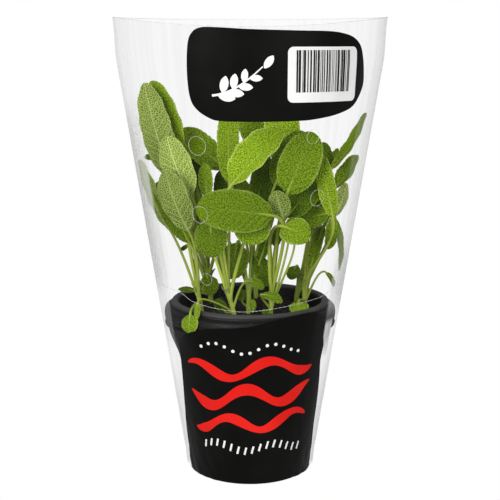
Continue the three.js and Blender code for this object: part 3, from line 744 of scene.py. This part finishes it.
leafTop = {  # the upper side
    "hollow": paint(76, 112, 12), "pebble": paint(126, 158, 32), "cloud": paint(114, 148, 18),
    "vein": paint(140, 168, 62), "rib": paint(158, 182, 78), "margin": paint(166, 188, 96),
    # dark and light multiply the colour by a leaf's painted light and shade
    "dark": (0.3, 0.36, 0.18), "light": (2.5, 2.2, 2.6), "sheen": paint(205, 225, 120),
}
leafBack = {  # the under side, with a raised net
    "mesh": paint(96, 126, 34), "net": paint(177, 197, 112), "cloud": paint(140, 166, 70),
    "vein": paint(192, 210, 128), "margin": paint(190, 206, 128),
    # dark and light multiply the colour by a leaf's painted light and shade
    "dark": (0.5, 0.56, 0.4), "light": (1.6, 1.5, 1.45), "sheen": paint(220, 230, 170),
}
stalk = {
    "groove": paint(128, 152, 38), "ridge": paint(182, 198, 96),
    # dark and light multiply the colour by a stem's painted light and shade
    "dark": (0.72, 0.76, 0.5), "light": (1.4, 1.3, 1.35), "sheen": paint(215, 225, 160),
}


def withToneAndShade(finish, colour, toneAndShade, tones):  # each leaf's own tone with its painted light and shade, between the dark and the light one
    paintedShade = finish.mix(toneAndShade, (*tones["dark"], 1), (*tones["light"], 1))
    return finish.mix(1, colour, paintedShade, "MULTIPLY")


def lateralVein(finish, along, across, edge, narrow, wide):
    cycle = (along - across * leaf["veinSlope"]) / leaf["veinSpacing"]
    away = abs(cycle.maths("FRACT", cycle + 0.5) - 0.5) * leaf["veinSpacing"]
    return (1 - finish.rise(away, narrow, wide)) * (1 - finish.rise(edge, 0.78, 1.0))


def downy(name, gloss, sheen, rough, tint):
    return Finish(name, {
        "Specular IOR Level": gloss, "Sheen Weight": sheen, "Sheen Roughness": rough, "Sheen Tint": tint,
    })


def leafPlace(finish):  # the space, and where on the blade a point lies
    space = finish.read("space")
    along, across, _ = finish.split(space)
    t, edge, toneAndShade = finish.split(finish.read("look"))
    return space, along, abs(across), t, edge, toneAndShade


def leafUpper():
    finish = downy("leaf_upper", 0.06, 0.02, 0.4, leafTop["sheen"])
    space, along, across, t, edge, toneAndShade = leafPlace(finish)
    vein = lateralVein(finish, along, across, edge, 0.1, 0.7)
    rib = (1 - finish.rise(across, 0.2, 0.8)) * (1 - finish.rise(t, 0.25, 0.8))
    pebble = 1 - finish.rise(finish.cells(space, 0.9, "F1", 0.75, "2D"), 0.2, 0.75)
    cloud = finish.rise(finish.noise(space, 0.08, 2), 0.35, 0.7)
    margin = finish.rise(edge, 0.86, 1.0)
    colour = finish.coats(finish.mix(pebble, leafTop["hollow"], leafTop["pebble"]),
                          (cloud * 0.3, leafTop["cloud"]), (vein * 0.14, leafTop["vein"]),
                          (rib * 0.4, leafTop["rib"]), (margin * 0.5, leafTop["margin"]))
    finish.feed("Base Color", withToneAndShade(finish, colour, toneAndShade, leafTop))
    finish.feed("Roughness", 0.74 - pebble * 0.1)
    finish.bump(pebble - vein * 0.4, 0.0005, 1)
    return finish


def leafUnder():
    finish = downy("leaf_under", 0.1, 0.05, 0.5, leafBack["sheen"])
    space, along, across, t, edge, toneAndShade = leafPlace(finish)
    vein = lateralVein(finish, along, across, edge, 0.12, 0.5)
    rib = 1 - finish.rise(across + t * 0.5, 0.4, 1.0)
    net = 1 - finish.rise(finish.cells(space, 0.64, "DISTANCE_TO_EDGE", 0.9, "2D"), 0.05, 0.24)
    cloud = finish.rise(finish.noise(space, 0.12, 2), 0.4, 0.7)
    margin = finish.rise(edge, 0.88, 1.0)
    colour = finish.coats(finish.mix(net, leafBack["mesh"], leafBack["net"]),
                          (cloud * 0.25, leafBack["cloud"]), (vein * 0.7, leafBack["vein"]),
                          (rib * 0.85, leafBack["vein"]), (margin * 0.5, leafBack["margin"]))
    finish.feed("Base Color", withToneAndShade(finish, colour, toneAndShade, leafBack))
    finish.feed("Roughness", 0.8 - net * 0.1)
    finish.bump(net + vein, 0.0005, 1)
    return finish


def stemSkin():
    finish = downy("stem_skin", 0.2, 0.05, 0.4, stalk["sheen"])
    space = finish.read("space")
    toneAndShade = finish.split(finish.read("look"))[2]
    streak = finish.noise(finish.stretch(space, (0.12, 1.6, 1)), 1, 3)
    colour = finish.mix(finish.rise(streak, 0.3, 0.7), stalk["groove"], stalk["ridge"])
    finish.feed("Base Color", withToneAndShade(finish, colour, toneAndShade, stalk))
    finish.feed("Roughness", 0.55 + streak * 0.15)
    finish.bump(streak + finish.noise(space, 3, 1) * 0.4, 0.0002, 0.8)
    return finish


def addMainStem(form, stem, paintedShade):
    places = np.linspace(0, 1, mainStem["steps"] + 1)
    path = np.array([placeAt(stem, share)[0] for share in places])
    radii = taper(mainStem, places)
    radii = radii * (1 + mainStem["knot"] * np.cos(mainStem["knots"] * np.pi * places) ** 8)
    addTube(form, path, radii, mainStem["sides"], 2, (0, 0, paintedShade),
            lambda turn: 1 + mainStem["square"] * np.cos(4 * turn))


def makePlant(name, plant, seed, finishes):
    chance = np.random.default_rng(seed)
    stem = smoothPath(plant["stem"], 12)
    form = Form()
    addMainStem(form, stem, plant.get("stemPaintedShade", mainStem["paintedShade"]))
    rows = plant["leaves"] + plant.get("inner", [])
    if "sector" in plant:
        rows += backLeaves(stem, *plant["sector"])
    rows += budLeaves(stem, chance)
    for number, row in enumerate(rows):
        # each leaf's tone: its own, a little random, together with its painted light and shade
        toneAndShade = row[7] + chance.uniform(-leaf["toneSpread"], leaf["toneSpread"])
        addBlade(form, row, number, chance, toneAndShade)
        addPetiole(form, row, stem, toneAndShade)
    form.make(name + "_leafy", finishes, [name])
    print(name, len(rows), "leaves,", form.count, "points")


greens = [leafUpper(), leafUnder(), stemSkin()]
for seed, (name, plant) in enumerate(plants.items(), 40):
    makePlant(name, plant, seed, greens)

# Pot: outside radii and heights, from the foot up
pot = {
    "footInner": 31.5, "footOuter": 36.5, "heel": (38.3, 4), "shoulder": (44.8, 71), "bead": (54.4, 98.2),
    "under": 52.6, "groove": (53.6, 99.8), "rim": (54.9, 101), "ledge": (53.8, 108.3), "neck": (51.2, 108.8),
    "ring": (50.7, 110), "crest": (48.5, 112.5), "lip": (46, 110.6),
    "wall": 1.4, "floor": 3.2, "footLift": 1.4, "rounded": 0.4, "sides": 144,
    "drains": 8, "drainRadius": 3, "drainRing": 25, "drainSides": 24, "drainCut": (-3, 2, 7),
}
potPaint = {
    # The two pale streak colours are partly wear and partly painted highlight lines round the pot.
    "deep": paint(6, 6, 6), "pale": paint(15, 15, 14), "wearAndHighlight": paint(56, 56, 55), "turned": paint(74, 74, 73),
    # crest paints a highlight along the rim's top edge
    "crest": paint(104, 104, 103), "dust": paint(190, 188, 180),
}


def stackRings(rings, bottom, top):  # a closed body of rings, each with as many points, and its two poles
    count, sides = rings.shape[:2]
    j = np.arange(sides)
    after = (j + 1) % sides
    last = (count - 1) * sides
    caps = [np.stack([np.full(sides, count * sides), after, j], -1),
            np.stack([np.full(sides, count * sides + 1), last + j, last + after], -1)]
    points = np.concatenate([rings.reshape(-1, 3), [bottom, top]])
    return points, [gridFaces(count, sides, closed=True), *caps]


def lathe(outline, sides):  # a closed turned body whose outline starts and ends on the axis
    outline = np.asarray(outline, float)
    radius, height = outline[1:-1, :1], outline[1:-1, 1:]
    turn = around(sides)
    rings = np.stack(np.broadcast_arrays(radius * np.cos(turn), radius * np.sin(turn), height), -1)
    return stackRings(rings, (0, 0, outline[0, 1]), (0, 0, outline[-1, 1]))


def potOutline():  # from under the floor up the outside, over the rim and down the inside
    heel, shoulder, bead, groove, rim, ledge = (np.array(pot[name], float) for name in (
        "heel", "shoulder", "bead", "groove", "rim", "ledge"))
    neck, ring, crest, lip = (np.array(pot[name], float) for name in ("neck", "ring", "crest", "lip"))
    inner, outer, lift, rounded = (pot[name] for name in ("footInner", "footOuter", "footLift", "rounded"))
    under, wall, floor = (pot[name] for name in ("under", "wall", "floor"))
    rows = [(0, lift), (inner - rounded, lift), (inner, lift - rounded),
            (inner, 0.3), (inner + 0.3, 0), (outer - 0.6, 0)]
    rows += list(bend((outer, 0), (heel[0] - 0.6, 0.1), (heel[0] - 0.2, 1.2), heel, 6))
    rows += [heel + (shoulder - heel) * k / 6 for k in range(1, 6)]
    rows += list(bend(shoulder, (shoulder[0] + 1, 81), (under - 0.3, 88), (under, bead[1] - 2), 14))
    rows += list(bend(bead + (0.3, -0.8), bead + (0.6, 0), bead + (0.4, 0.7), bead + (-0.2, 0.9), 4))
    rows += [groove, groove + (0.1, 0.5)]
    rows += list(bend(rim + (-0.3, -0.2), (rim[0] + 0.4, 103.5), (rim[0] + 0.3, 107.6), ledge, 10))
    rows += list(bend(neck, (ring[0] + 0.1, 108.9), (ring[0], 109.2), ring, 4))
    rows += list(bend(ring, (ring[0], 111.6), (50, crest[1]), crest, 6))[1:]
    rows += list(bend(crest, (46.9, crest[1]), (lip[0], 112.1), lip, 6))[1:]
    rows += list(bend(lip, (lip[0], 107), (45.2, 96), (shoulder[0] - wall, shoulder[1]), 6))[1:]
    rows += [(heel[0] - wall, floor + 1), (heel[0] - wall - 1, floor), (12, floor), (0, floor)]
    return [tuple(row) for row in rows]


def potPlastic():
    finish = Finish("pot_plastic", {"Specular IOR Level": 0.2})
    place = finish.place()
    broad = finish.noise(finish.stretch(place, (60, 60, 20)), 1, 4)
    grain = finish.noise(place, 2600, 2)
    scuff = finish.noise(finish.stretch(place, (900, 900, 140)), 1, 3, 0.7)
    specks = 1 - finish.rise(finish.cells(place, 330), 0.0, 0.16)
    # pale streaks stretched round the pot: partly wear, partly painted highlight lines
    wearAndHighlight = finish.rise(scuff, 0.62, 0.75)
    turned = finish.rise(finish.noise(finish.stretch(place, (30, 30, 2400)), 1, 3, 0.6), 0.56, 0.72)
    # a painted highlight along the rim's top, where the light from above would catch it
    crest = finish.rise(finish.split(place)[2], 0.1095, 0.1122)
    dusty = finish.rise(broad, 0.52, 0.62)
    colour = finish.mix(finish.rise(broad, 0.3, 0.75), potPaint["deep"], potPaint["pale"])
    colour = finish.coats(colour, (wearAndHighlight * 0.3, potPaint["wearAndHighlight"]), (turned * 0.5, potPaint["turned"]),
                          (crest * 0.38, potPaint["crest"]), (specks * dusty * 0.8, potPaint["dust"]))
    finish.feed("Base Color", colour)
    finish.feed("Roughness", 0.36 + broad * 0.2 + wearAndHighlight * 0.15)
    finish.bump(grain * 0.6 + scuff, 0.00012, 0.7)
    return finish


def makePot():
    form = Form()
    form.add(*lathe(potOutline(), pot["sides"]))
    piece = form.make("pot_moulding", [potPlastic()], ["pot"])
    cutters = Form()
    for k in range(pot["drains"]):
        turn = 2 * math.pi * (k + 0.5) / pot["drains"]
        x, y = pot["drainRing"] * math.cos(turn), pot["drainRing"] * math.sin(turn)
        path = np.array([[x, y, z] for z in pot["drainCut"]], float)
        addTube(cutters, path, np.full(len(path), pot["drainRadius"]), pot["drainSides"], 0, upper=[0, 1, 0])
    cutter = cutters.make("drain_cutter", [])
    cut = piece.modifiers.new("drains", "BOOLEAN")
    cut.object = cutter
    cut.solver = "EXACT"
    mesh = bpy.data.meshes.new_from_object(piece.evaluated_get(bpy.context.evaluated_depsgraph_get()))
    piece.modifiers.clear()
    piece.data = mesh
    bpy.data.objects.remove(cutter)
    print("pot,", len(mesh.polygons), "faces")


makePot()

# Soil
soil = {
    "surface": 104, "hump": 1.6, "radius": 44.4, "rough": 1.1, "edgeDrop": 1.4, "rings": 60, "sides": 150,
    "wall": [(36.5, 3.5), (38.8, 30), (42.9, 70.9), (44.2, 96)],
    "crumbs": 900, "crumbReach": 0.97, "crumbSize": (0.4, 1.5), "crumbScale": 0.7, "crumbSunk": 0.1,
    "peatShare": 0.9,
}
soilPaint = {
    "patch": paint(48, 38, 28), "peat": (paint(18, 13, 9), paint(44, 34, 24)),
    "bark": (paint(70, 50, 28), paint(128, 98, 60)), "moss": (paint(40, 60, 16), paint(96, 122, 40)),
}


def soilHeight(x, y):
    out = np.hypot(x, y) / soil["radius"]
    rough = (np.sin(x / 2.9 + 1.3 * np.sin(y / 3.7)) + np.sin(y / 2.3 + 2 * np.sin(x / 4.1))
             + 0.7 * np.sin(x / 1.3 + y / 1.7) + 0.6 * np.sin(y / 1.1 - x / 1.5))
    height = soil["surface"] + soil["hump"] * (1 - out ** 2) + soil["rough"] * rough / 3
    return height - soil["edgeDrop"] * out ** 8


def soilFinish(name, dark, light):
    finish = Finish(name, {"Specular IOR Level": 0.25})
    place = finish.place()
    clod = finish.cells(place, 420)
    grain = finish.noise(place, 1500, 4, 0.7)
    patch = finish.rise(finish.noise(place, 90, 3), 0.5, 0.72)
    colour = finish.mix(finish.rise(grain, 0.35, 0.7), dark, light)
    finish.feed("Base Color", finish.mix(patch * 0.5, colour, soilPaint["patch"]))
    finish.feed("Roughness", 0.95 - grain * 0.2)
    finish.bump(clod + grain, 0.0009, 1)
    return finish


def addLump(form, centre, size, chance, finish, template):
    points, faces = template
    stretch = chance.uniform(0.6, 1.3, 3)
    swell = 1 + 0.25 * np.sin(points @ chance.uniform(-4, 4, 3) + chance.uniform(0, 6))
    form.add(centre + points * stretch * size * swell[:, None], faces, finish)


def addCrumbs(form, chance):
    rise = np.linspace(0, np.pi, 7)
    template = lathe(np.stack([np.sin(rise), -np.cos(rise)], -1), 8)
    for _ in range(soil["crumbs"]):
        away = soil["radius"] * soil["crumbReach"] * math.sqrt(chance.uniform())
        turn = chance.uniform(0, 2 * math.pi)
        x, y = away * math.cos(turn), away * math.sin(turn)
        size = chance.uniform(*soil["crumbSize"]) ** 1.5 * soil["crumbScale"]
        finish = 0 if chance.uniform() < soil["peatShare"] else int(chance.integers(1, 3))
        centre = np.array([x, y, soilHeight(x, y) + soil["crumbSunk"]])
        addLump(form, centre, size, chance, finish, template)


def makeSoil():
    form = Form()
    turn = around(soil["sides"])
    out = soil["radius"] * np.linspace(1, 0, soil["rings"])[:-1, None]
    x, y = out * np.cos(turn), out * np.sin(turn)
    top = np.stack([x, y, soilHeight(x, y)], -1)
    radius, height = np.array(soil["wall"]).T[..., None]
    wall = np.stack(np.broadcast_arrays(radius * np.cos(turn), radius * np.sin(turn), height), -1)
    form.add(*stackRings(np.concatenate([wall, top]), (0, 0, soil["wall"][0][1]), (0, 0, soilHeight(0, 0))))
    addCrumbs(form, np.random.default_rng(11))
    finishes = [soilFinish("soil_" + name, *soilPaint[name]) for name in ("peat", "bark", "moss")]
    form.make("soil_bed", finishes, ["soil"])
    print("soil,", form.count, "points")


makeSoil()

# Sleeve
# milky is the white of the film's haze and of the glare painted where the film is lit
milk = {"clear": (0.07, 0.07, 0.075, 1), "milky": (0.97, 0.97, 0.97, 1), "least": 0.85, "streaks": 0.3}


def filmFinish():  # alpha says how much of the light it stops, and colour how much of that it gives back
    finish = Finish("clear_film", {"Roughness": 0.25, "Specular IOR Level": 0.35})
    x, y, z = finish.split(finish.place())
    angle = finish.node("ShaderNodeMath", {"operation": "ARCTAN2"}, {0: x, 1: 0 - y}) * (180 / math.pi)
    height = z / mm

    def comes(value, name):  # 0 before the haze's place of that name, and 1 past it
        return finish.rise(value, *hazeAndGlare[name])

    def goes(value, name):
        return 1 - comes(value, name)

    ramp = {"stops": [(place, (*[grey] * 3, 1)) for place, grey in filmBands]}
    bands = finish.node("ShaderNodeValToRGB", ramp, {0: angle / 360 + 0.5})
    lines = finish.node("ShaderNodeCombineXYZ", {}, {0: angle * 0.35, 1: height * 0.006, 2: 0.0})
    streak = finish.rise(finish.noise(lines, 1, 3), 0.4, 0.66)
    # The milky patches left and right are partly the film's haze and partly painted glare where light catches
    # it.
    left = comes(height, "leftFrom") * hazeAndGlare["leftShare"] + comes(height, "low") * hazeAndGlare["lowShare"]
    left = left * comes(0 - angle, "left") * (1 - comes(height, "leftFades") * hazeAndGlare["leftFade"])
    right = comes(angle, "right") * comes(height, "rightFrom")
    right = right * (1 - comes(height, "rightFades") * hazeAndGlare["rightFade"])
    # a painted highlight: a bright strip on the film beside the rim
    highlightStrip = comes(angle, "highlightStrip") * goes(angle, "stripEnds") * hazeAndGlare["stripShare"]
    highlightStrip = highlightStrip * comes(height, "stripFrom") * goes(height, "stripTo")
    hazeAndGlareShare = (left + right + highlightStrip) * goes(abs(angle), "back") * (milk["least"] + streak * milk["streaks"])
    hazeAndGlareShare = hazeAndGlareShare * hazeAndGlare["most"]
    facing = finish.node("ShaderNodeLayerWeight", {}, {"Blend": 0.5}, "Facing")
    side = finish.rise(facing, 0.78, 1.0) * film["rim"]
    foot = goes(height, "foot") * comes(abs(angle), "footSides") * hazeAndGlare["footShare"]
    clear = film["plain"] + bands * film["bands"] + streak * film["streaks"] + side + foot
    finish.feed("Alpha", clear + hazeAndGlareShare)
    finish.feed("Base Color", finish.mix(hazeAndGlareShare / (clear + hazeAndGlareShare), milk["clear"], milk["milky"]))
    return finish


def ventPlace(x, height):  # a vent's angle, and the millimetres in a degree there
    return math.degrees(math.asin(x / filmRadius(height))), perDegree(height)


def punchVent(angle, height, keep, vent):  # drops the faces inside a vent and draws its rim round
    x, middle, radius = vent
    centre, scale = ventPlace(x, middle)
    faceAngle = (angle[:-1] + np.roll(angle, -1, 1)[:-1]) / 2
    faceHeight = (height[:-1] + height[1:]) / 2
    inside = np.hypot((faceAngle - centre) * scale, faceHeight - middle) < radius
    rim = np.zeros_like(angle, bool)
    for faces in (inside, np.roll(inside, 1, 1)):
        rim[:-1] |= faces
        rim[1:] |= faces
    across, up = (angle - centre) * scale, height - middle
    away = np.maximum(np.hypot(across, up), 1e-6)
    angle = np.where(rim, centre + across / away * radius / scale, angle)
    height = np.where(rim, middle + up / away * radius, height)
    return angle, height, keep & ~inside


def makeFilm():
    form = Form()
    columns, rows = film["columns"], film["rows"]
    angle = filmAngles()
    height = film["foot"] + (filmTop(angle)[None] - film["foot"]) * np.linspace(0, 1, rows)[:, None]
    angle = np.broadcast_to(angle, height.shape).copy()
    keep = np.ones((rows - 1, columns), bool)
    for vent in vents:
        angle, height, keep = punchVent(angle, height, keep, vent)
    faces = gridFaces(rows, columns, closed=True)[keep.ravel()]
    form.addShell(filmPoint(angle, height, film["thickness"]), filmPoint(angle, height), faces)
    piece = form.make("sleeve_film", [filmFinish()], ["sleeve"])
    print("sleeve film,", len(piece.data.polygons), "faces")


makeFilm()


def addRing(form, angles, heights, radius, sides=6):  # a thin bead along a closed line on the film
    path = filmPoint(angles, heights, film["thickness"] / 2)
    run = unit(np.roll(path, -1, 0) - np.roll(path, 1, 0))
    out = unit(path * [1, 1, 0])
    other = unit(np.cross(run, out))
    turn = around(sides)[:, None]
    points = path[:, None] + radius * (np.cos(turn) * out[:, None] + np.sin(turn) * other[:, None])
    i, j = np.meshgrid(np.arange(len(path)), np.arange(sides), indexing="ij")
    here, there = i * sides, (i + 1) % len(path) * sides
    beside = (j + 1) % sides
    faces = np.stack([there + j, there + beside, here + beside, here + j], -1).reshape(-1, 4)
    form.add(points, faces)


def addLayer(form, flat, faces, layer):  # a flat shape laid on the film
    low, high = layer
    form.addShell(filmPoint(flat[:, 0], flat[:, 1], high), filmPoint(flat[:, 0], flat[:, 1], low), faces)


def addStroke(form, line, widths, layer):  # a line on the film, through angles and heights
    line = np.asarray(line, float)
    count = len(line)
    scale = perDegree(line[:, 1])
    flat = line * np.stack([scale, np.ones(count)], -1)
    run = unit(np.gradient(flat, axis=0))
    half = (np.broadcast_to(widths, count) / 2)[:, None] * np.stack([-run[:, 1], run[:, 0]], -1)
    both = np.concatenate([flat + half, flat - half])
    both[:, 0] /= np.tile(scale, 2)
    k = np.arange(count - 1)
    addLayer(form, both, np.stack([k, k + count, k + 1 + count, k + 1], -1), layer)


def finer(outline, longest=1.4):  # more points along the long straight stretches
    outline = np.asarray(outline, float)
    made = []
    for here, there in zip(outline, np.roll(outline, -1, 0)):
        steps = max(1, math.ceil(np.abs(there - here).max() / longest))
        made += [here + (there - here) * k / steps for k in range(steps)]
    return np.array(made)


def insideOutline(outline, x, y):
    after = np.roll(outline, -1, 0)
    crosses = (outline[:, 1] > y) != (after[:, 1] > y)
    rise = np.where(after[:, 1] == outline[:, 1], 1, after[:, 1] - outline[:, 1])
    at = outline[:, 0] + (y - outline[:, 1]) * (after[:, 0] - outline[:, 0]) / rise
    return bool((crosses & (x < at)).sum() % 2)


def addPatch(form, outline, layer, spacing=1.6):  # a filled shape on the film
    outline = finer(outline)
    lowest, highest = outline.min(0), outline.max(0)
    inner = [(a, z) for a in np.arange(lowest[0] + spacing / 2, highest[0], spacing)
             for z in np.arange(lowest[1] + spacing, highest[1], 2 * spacing) if insideOutline(outline, a, z)]
    corners = [tuple(map(float, corner)) for corner in [*outline, *inner]]
    points, _, faces, *_ = delaunay_2d_cdt(corners, [], [list(range(len(outline)))], 1, 1e-5)
    flat = np.array([tuple(point) for point in points])
    faces = np.array([list(face) for face in faces if len(face) == 3])
    a, b, c = (flat[faces[:, k]] for k in range(3))
    turned = (b[:, 0] - a[:, 0]) * (c[:, 1] - a[:, 1]) - (b[:, 1] - a[:, 1]) * (c[:, 0] - a[:, 0]) < 0
    faces[turned] = faces[turned][:, ::-1]
    addLayer(form, flat, faces, layer)


# The sleeve's cut edges and its perforated tear line
edges = {
    "ventBead": 0.09, "ventPoints": 40, "topBead": 0.12,
    "tear": [(-69.9, 126.5), (-47.1, 125.4), (-36.3, 121.1), (-26, 118.9), (-11.8, 117.2), (-2.9, 116.8),
             (11.7, 118.1), (30.6, 120.3), (47.8, 122.4), (62, 126)],
    "tearWidth": 0.22, "tearDash": 0.85, "tearSteps": 14,
}
layers = {"black": (0.2, 0.25), "colour": (0.28, 0.33), "bars": (0.41, 0.46)}  # lifts above the film


def edgeFinish():
    finish = Finish("film_edge", {"Roughness": 0.25, "Specular IOR Level": 0.6, "Alpha": 0.75})
    glint = finish.rise(finish.noise(finish.read("space"), 0.9, 2), 0.35, 0.65)
    finish.feed("Base Color", finish.mix(glint, paint(196, 198, 196), paint(250, 250, 250)))
    return finish


def makeEdges():
    form = Form()
    turn = around(edges["ventPoints"])
    for x, height, radius in vents:
        centre, scale = ventPlace(x, height)
        bead = centre + radius * np.cos(turn) / scale, height + radius * np.sin(turn)
        addRing(form, *bead, edges["ventBead"])
    angle = filmAngles()
    addRing(form, angle, filmTop(angle), edges["topBead"])
    path = smoothPath(edges["tear"], edges["tearSteps"])
    for k in range(0, len(path) - 1, 2):
        dash = path[k], path[k] + (path[k + 1] - path[k]) * 2 * edges["tearDash"]
        addStroke(form, np.linspace(*dash, 3), edges["tearWidth"], layers["black"])
    form.make("sleeve_edges", [edgeFinish()])


makeEdges()

# The printed patches: plain black shapes with a made-up pattern, by angle and height
upperPatch = [
    (-18.8, 283.2), (-22.6, 280.4), (-24.7, 273.9), (-25.9, 257), (-25.4, 244), (-22.6, 237.3), (-17, 232.6),
    (-11.8, 231.2), (5, 230.9), (21.6, 231.1), (28.7, 231.7), (39.3, 233.7), (48.4, 237.2), (53.3, 242.8),
    (55.9, 250.2), (54.9, 257.8), (52.1, 267.7), (49.6, 273.4), (45, 277.9), (39.1, 280.1), (31.7, 281.2),
    (18.9, 281.5), (0, 282.2), (-12, 283.2),
]
lowerPatch = [
    (-54, 92), (-52.6, 94.4), (-49.9, 95.8), (-43, 99), (-36.8, 101.7), (-25.3, 104.5), (-12.2, 106),
    (0, 107.3), (7.2, 109.1), (18.2, 111.3), (31.5, 113.1), (40, 113.3), (46, 112.2), (50.6, 109.4),
    (52.7, 105), (55.5, 97), (58.2, 88.4), (57.6, 78.8), (60.8, 64.6), (63.6, 50.4), (66.4, 29.2),
    (70.5, 14.1), (72, 6), (71, 2.2), (40, 1.6), (0, 1.6), (-40, 1.6), (-69.3, 2.2), (-70.1, 6),
    (-66.4, 29.2), (-61, 49), (-57.4, 65.4), (-54.9, 82.7),
]
panel = {"left": 21.2, "right": 68.6, "low": 241.5, "high": 272.6, "corner": 3.2}  # across the flat film
bars = {"left": 26.2, "right": 62.5, "low": 247.2, "high": 270.7, "count": 26}
sprig = {
    "stalk": [(-15.6, 245.6), (-9, 246.6), (-3, 250.8), (5, 261.8)], "steps": 18, "thick": (1.3, 0.7),
    "at": 257, "leaves": 7, "tilt": 0.55, "opens": 0.75, "turns": 0.03, "reach": 5.6, "nearer": 0.35,
    "length": 10.2, "shorter": 0.5, "width": 5.2, "slimmer": 0.25, "point": 0.55,
    "end": (7.3, 264.3, 8.6, 4.4, 0.95),
}
dots = {
    "count": 13, "from": -33, "step": 5.5, "height": 92.5, "sway": 3, "swayStep": 0.9,
    "size": 2.1, "sides": 12,
}
dashes = {
    "count": 15, "from": -40, "step": 5.9, "low": 24, "high": 29, "sway": 2.2, "swayStep": 0.8, "lean": 1.6,
    "width": 1.2,
}
waves = {
    "rows": [(79, 4.8, 5.6, 0.0), (61, 5.4, 6.4, 1.9), (43, 4.6, 5.6, 3.6)],  # height, swing, width and phase
    "reach": 47, "points": 70, "pitch": 8.3, "drift": 2, "driftPitch": 31, "swell": 0.22, "swellPitch": 5.1,
    "endSlope": 9, "thinnest": 0.12,
}
inks = {
    "black": (paint(8, 8, 7), paint(15, 14, 13)), "white": (paint(236, 236, 234), paint(246, 246, 244)),
    "red": (paint(222, 30, 24), paint(234, 38, 30)), "bars": (paint(24, 23, 23), paint(34, 33, 33)),
}


def roundedBox(box, steps=5):
    corner = box["corner"]
    left, low = box["left"] + corner, box["low"] + corner
    right, high = box["right"] - corner, box["high"] - corner
    points = []
    for x, z, start in ((right, low, -90), (right, high, 0), (left, high, 90), (left, low, 180)):
        for turn in np.radians(start + 90 * np.arange(steps + 1) / steps):
            points.append((x + corner * math.cos(turn), z + corner * math.sin(turn)))
    return points


def flatFilm(points):  # from millimetres across the film to degrees around it
    points = np.array(points, float)
    points[:, 0] /= perDegree(points[:, 1])
    return points


def oval(angle, height, length, width, tilt=0.0, sides=16, point=0.0):  # its length and width in millimetres
    turn = around(sides)
    x = length / 2 * np.cos(turn)
    y = width / 2 * np.sin(turn) * (1 - point * np.cos(turn) ** 4)
    c, s = math.cos(tilt), math.sin(tilt)
    return np.stack([angle + (x * c - y * s) / perDegree(height), height + x * s + y * c], -1)


def inkFinish(name):
    finish = Finish("ink_" + name, {"Specular IOR Level": 0.1})
    place = finish.place()
    cloud = finish.noise(place, 35, 3)
    finish.feed("Base Color", finish.mix(finish.rise(cloud, 0.35, 0.7), *inks[name]))
    finish.feed("Roughness", 0.3 + cloud * 0.12)
    finish.bump(finish.noise(place, 120, 2), 0.0004, 0.25)
    return finish


def drawPatches(form):
    addPatch(form, smoothPath(upperPatch, 5, closed=True), layers["black"])
    addPatch(form, smoothPath(lowerPatch, 4, closed=True), layers["black"])


def drawSprig(form):
    line = bend(*sprig["stalk"], sprig["steps"])
    addStroke(form, line, np.linspace(*sprig["thick"], len(line)), layers["colour"])
    for k in range(sprig["leaves"]):
        tilt = sprig["tilt"] + (1 if k % 2 else -1) * sprig["opens"] + sprig["turns"] * k
        reach = sprig["reach"] - sprig["nearer"] * k
        angle, height = line[2 + 2 * k]
        angle += reach * math.cos(tilt) / perDegree(sprig["at"])
        height += reach * math.sin(tilt)
        length, width = sprig["length"] - sprig["shorter"] * k, sprig["width"] - sprig["slimmer"] * k
        addPatch(form, oval(angle, height, length, width, tilt, point=sprig["point"]), layers["colour"])
    addPatch(form, oval(*sprig["end"], point=sprig["point"]), layers["colour"])


def drawDots(form):
    for k in range(dots["count"]):
        height = dots["height"] + dots["sway"] * math.sin(k * dots["swayStep"])
        dot = oval(dots["from"] + dots["step"] * k, height, dots["size"], dots["size"], sides=dots["sides"])
        addPatch(form, dot, layers["colour"])


def drawDashes(form):
    for k in range(dashes["count"]):
        angle = dashes["from"] + dashes["step"] * k
        sway = dashes["sway"] * math.sin(k * dashes["swayStep"])
        line = np.linspace((angle, dashes["low"] + sway), (angle + dashes["lean"], dashes["high"] + sway), 3)
        addStroke(form, line, dashes["width"], layers["colour"])


def drawWhite(form):
    addPatch(form, flatFilm(finer(roundedBox(panel))), layers["colour"])
    drawSprig(form)
    drawDots(form)
    drawDashes(form)


def drawWaves(form):
    angle = np.linspace(-waves["reach"], waves["reach"], waves["points"])
    share = np.linspace(0, 1, waves["points"])
    ends = np.clip(np.minimum(share, 1 - share) * waves["endSlope"], 0, 1) ** 0.5
    for height, swing, width, phase in waves["rows"]:
        line = height + swing * np.sin(angle / waves["pitch"] + phase)
        line = line + waves["drift"] * np.sin(angle / waves["driftPitch"])
        thick = width * (1 + waves["swell"] * np.sin(angle / waves["swellPitch"] + phase))
        thick = thick * np.maximum(ends, waves["thinnest"])
        addStroke(form, np.stack([angle, line], -1), thick, layers["colour"])


def drawBars(form):  # plain bars of seeded random widths, which stand for no number
    chance = np.random.default_rng(5)
    widths = chance.integers(1, 5, bars["count"]).astype(float)
    gaps = chance.integers(1, 4, bars["count"] - 1).astype(float)
    module = (bars["right"] - bars["left"]) / (widths.sum() + gaps.sum())
    starts = np.concatenate([[0], np.cumsum(widths[:-1] + gaps)])
    for start, width in zip(starts, widths):
        middle = bars["left"] + (start + width / 2) * module
        line = flatFilm(np.linspace((middle, bars["low"]), (middle, bars["high"]), 9))
        addStroke(form, line, width * module, layers["bars"])


for name, draw in (("black", drawPatches), ("white", drawWhite), ("red", drawWaves), ("bars", drawBars)):
    form = Form()
    draw(form)
    form.make("print_" + name, [inkFinish(name)])
print("printed patches are in place")
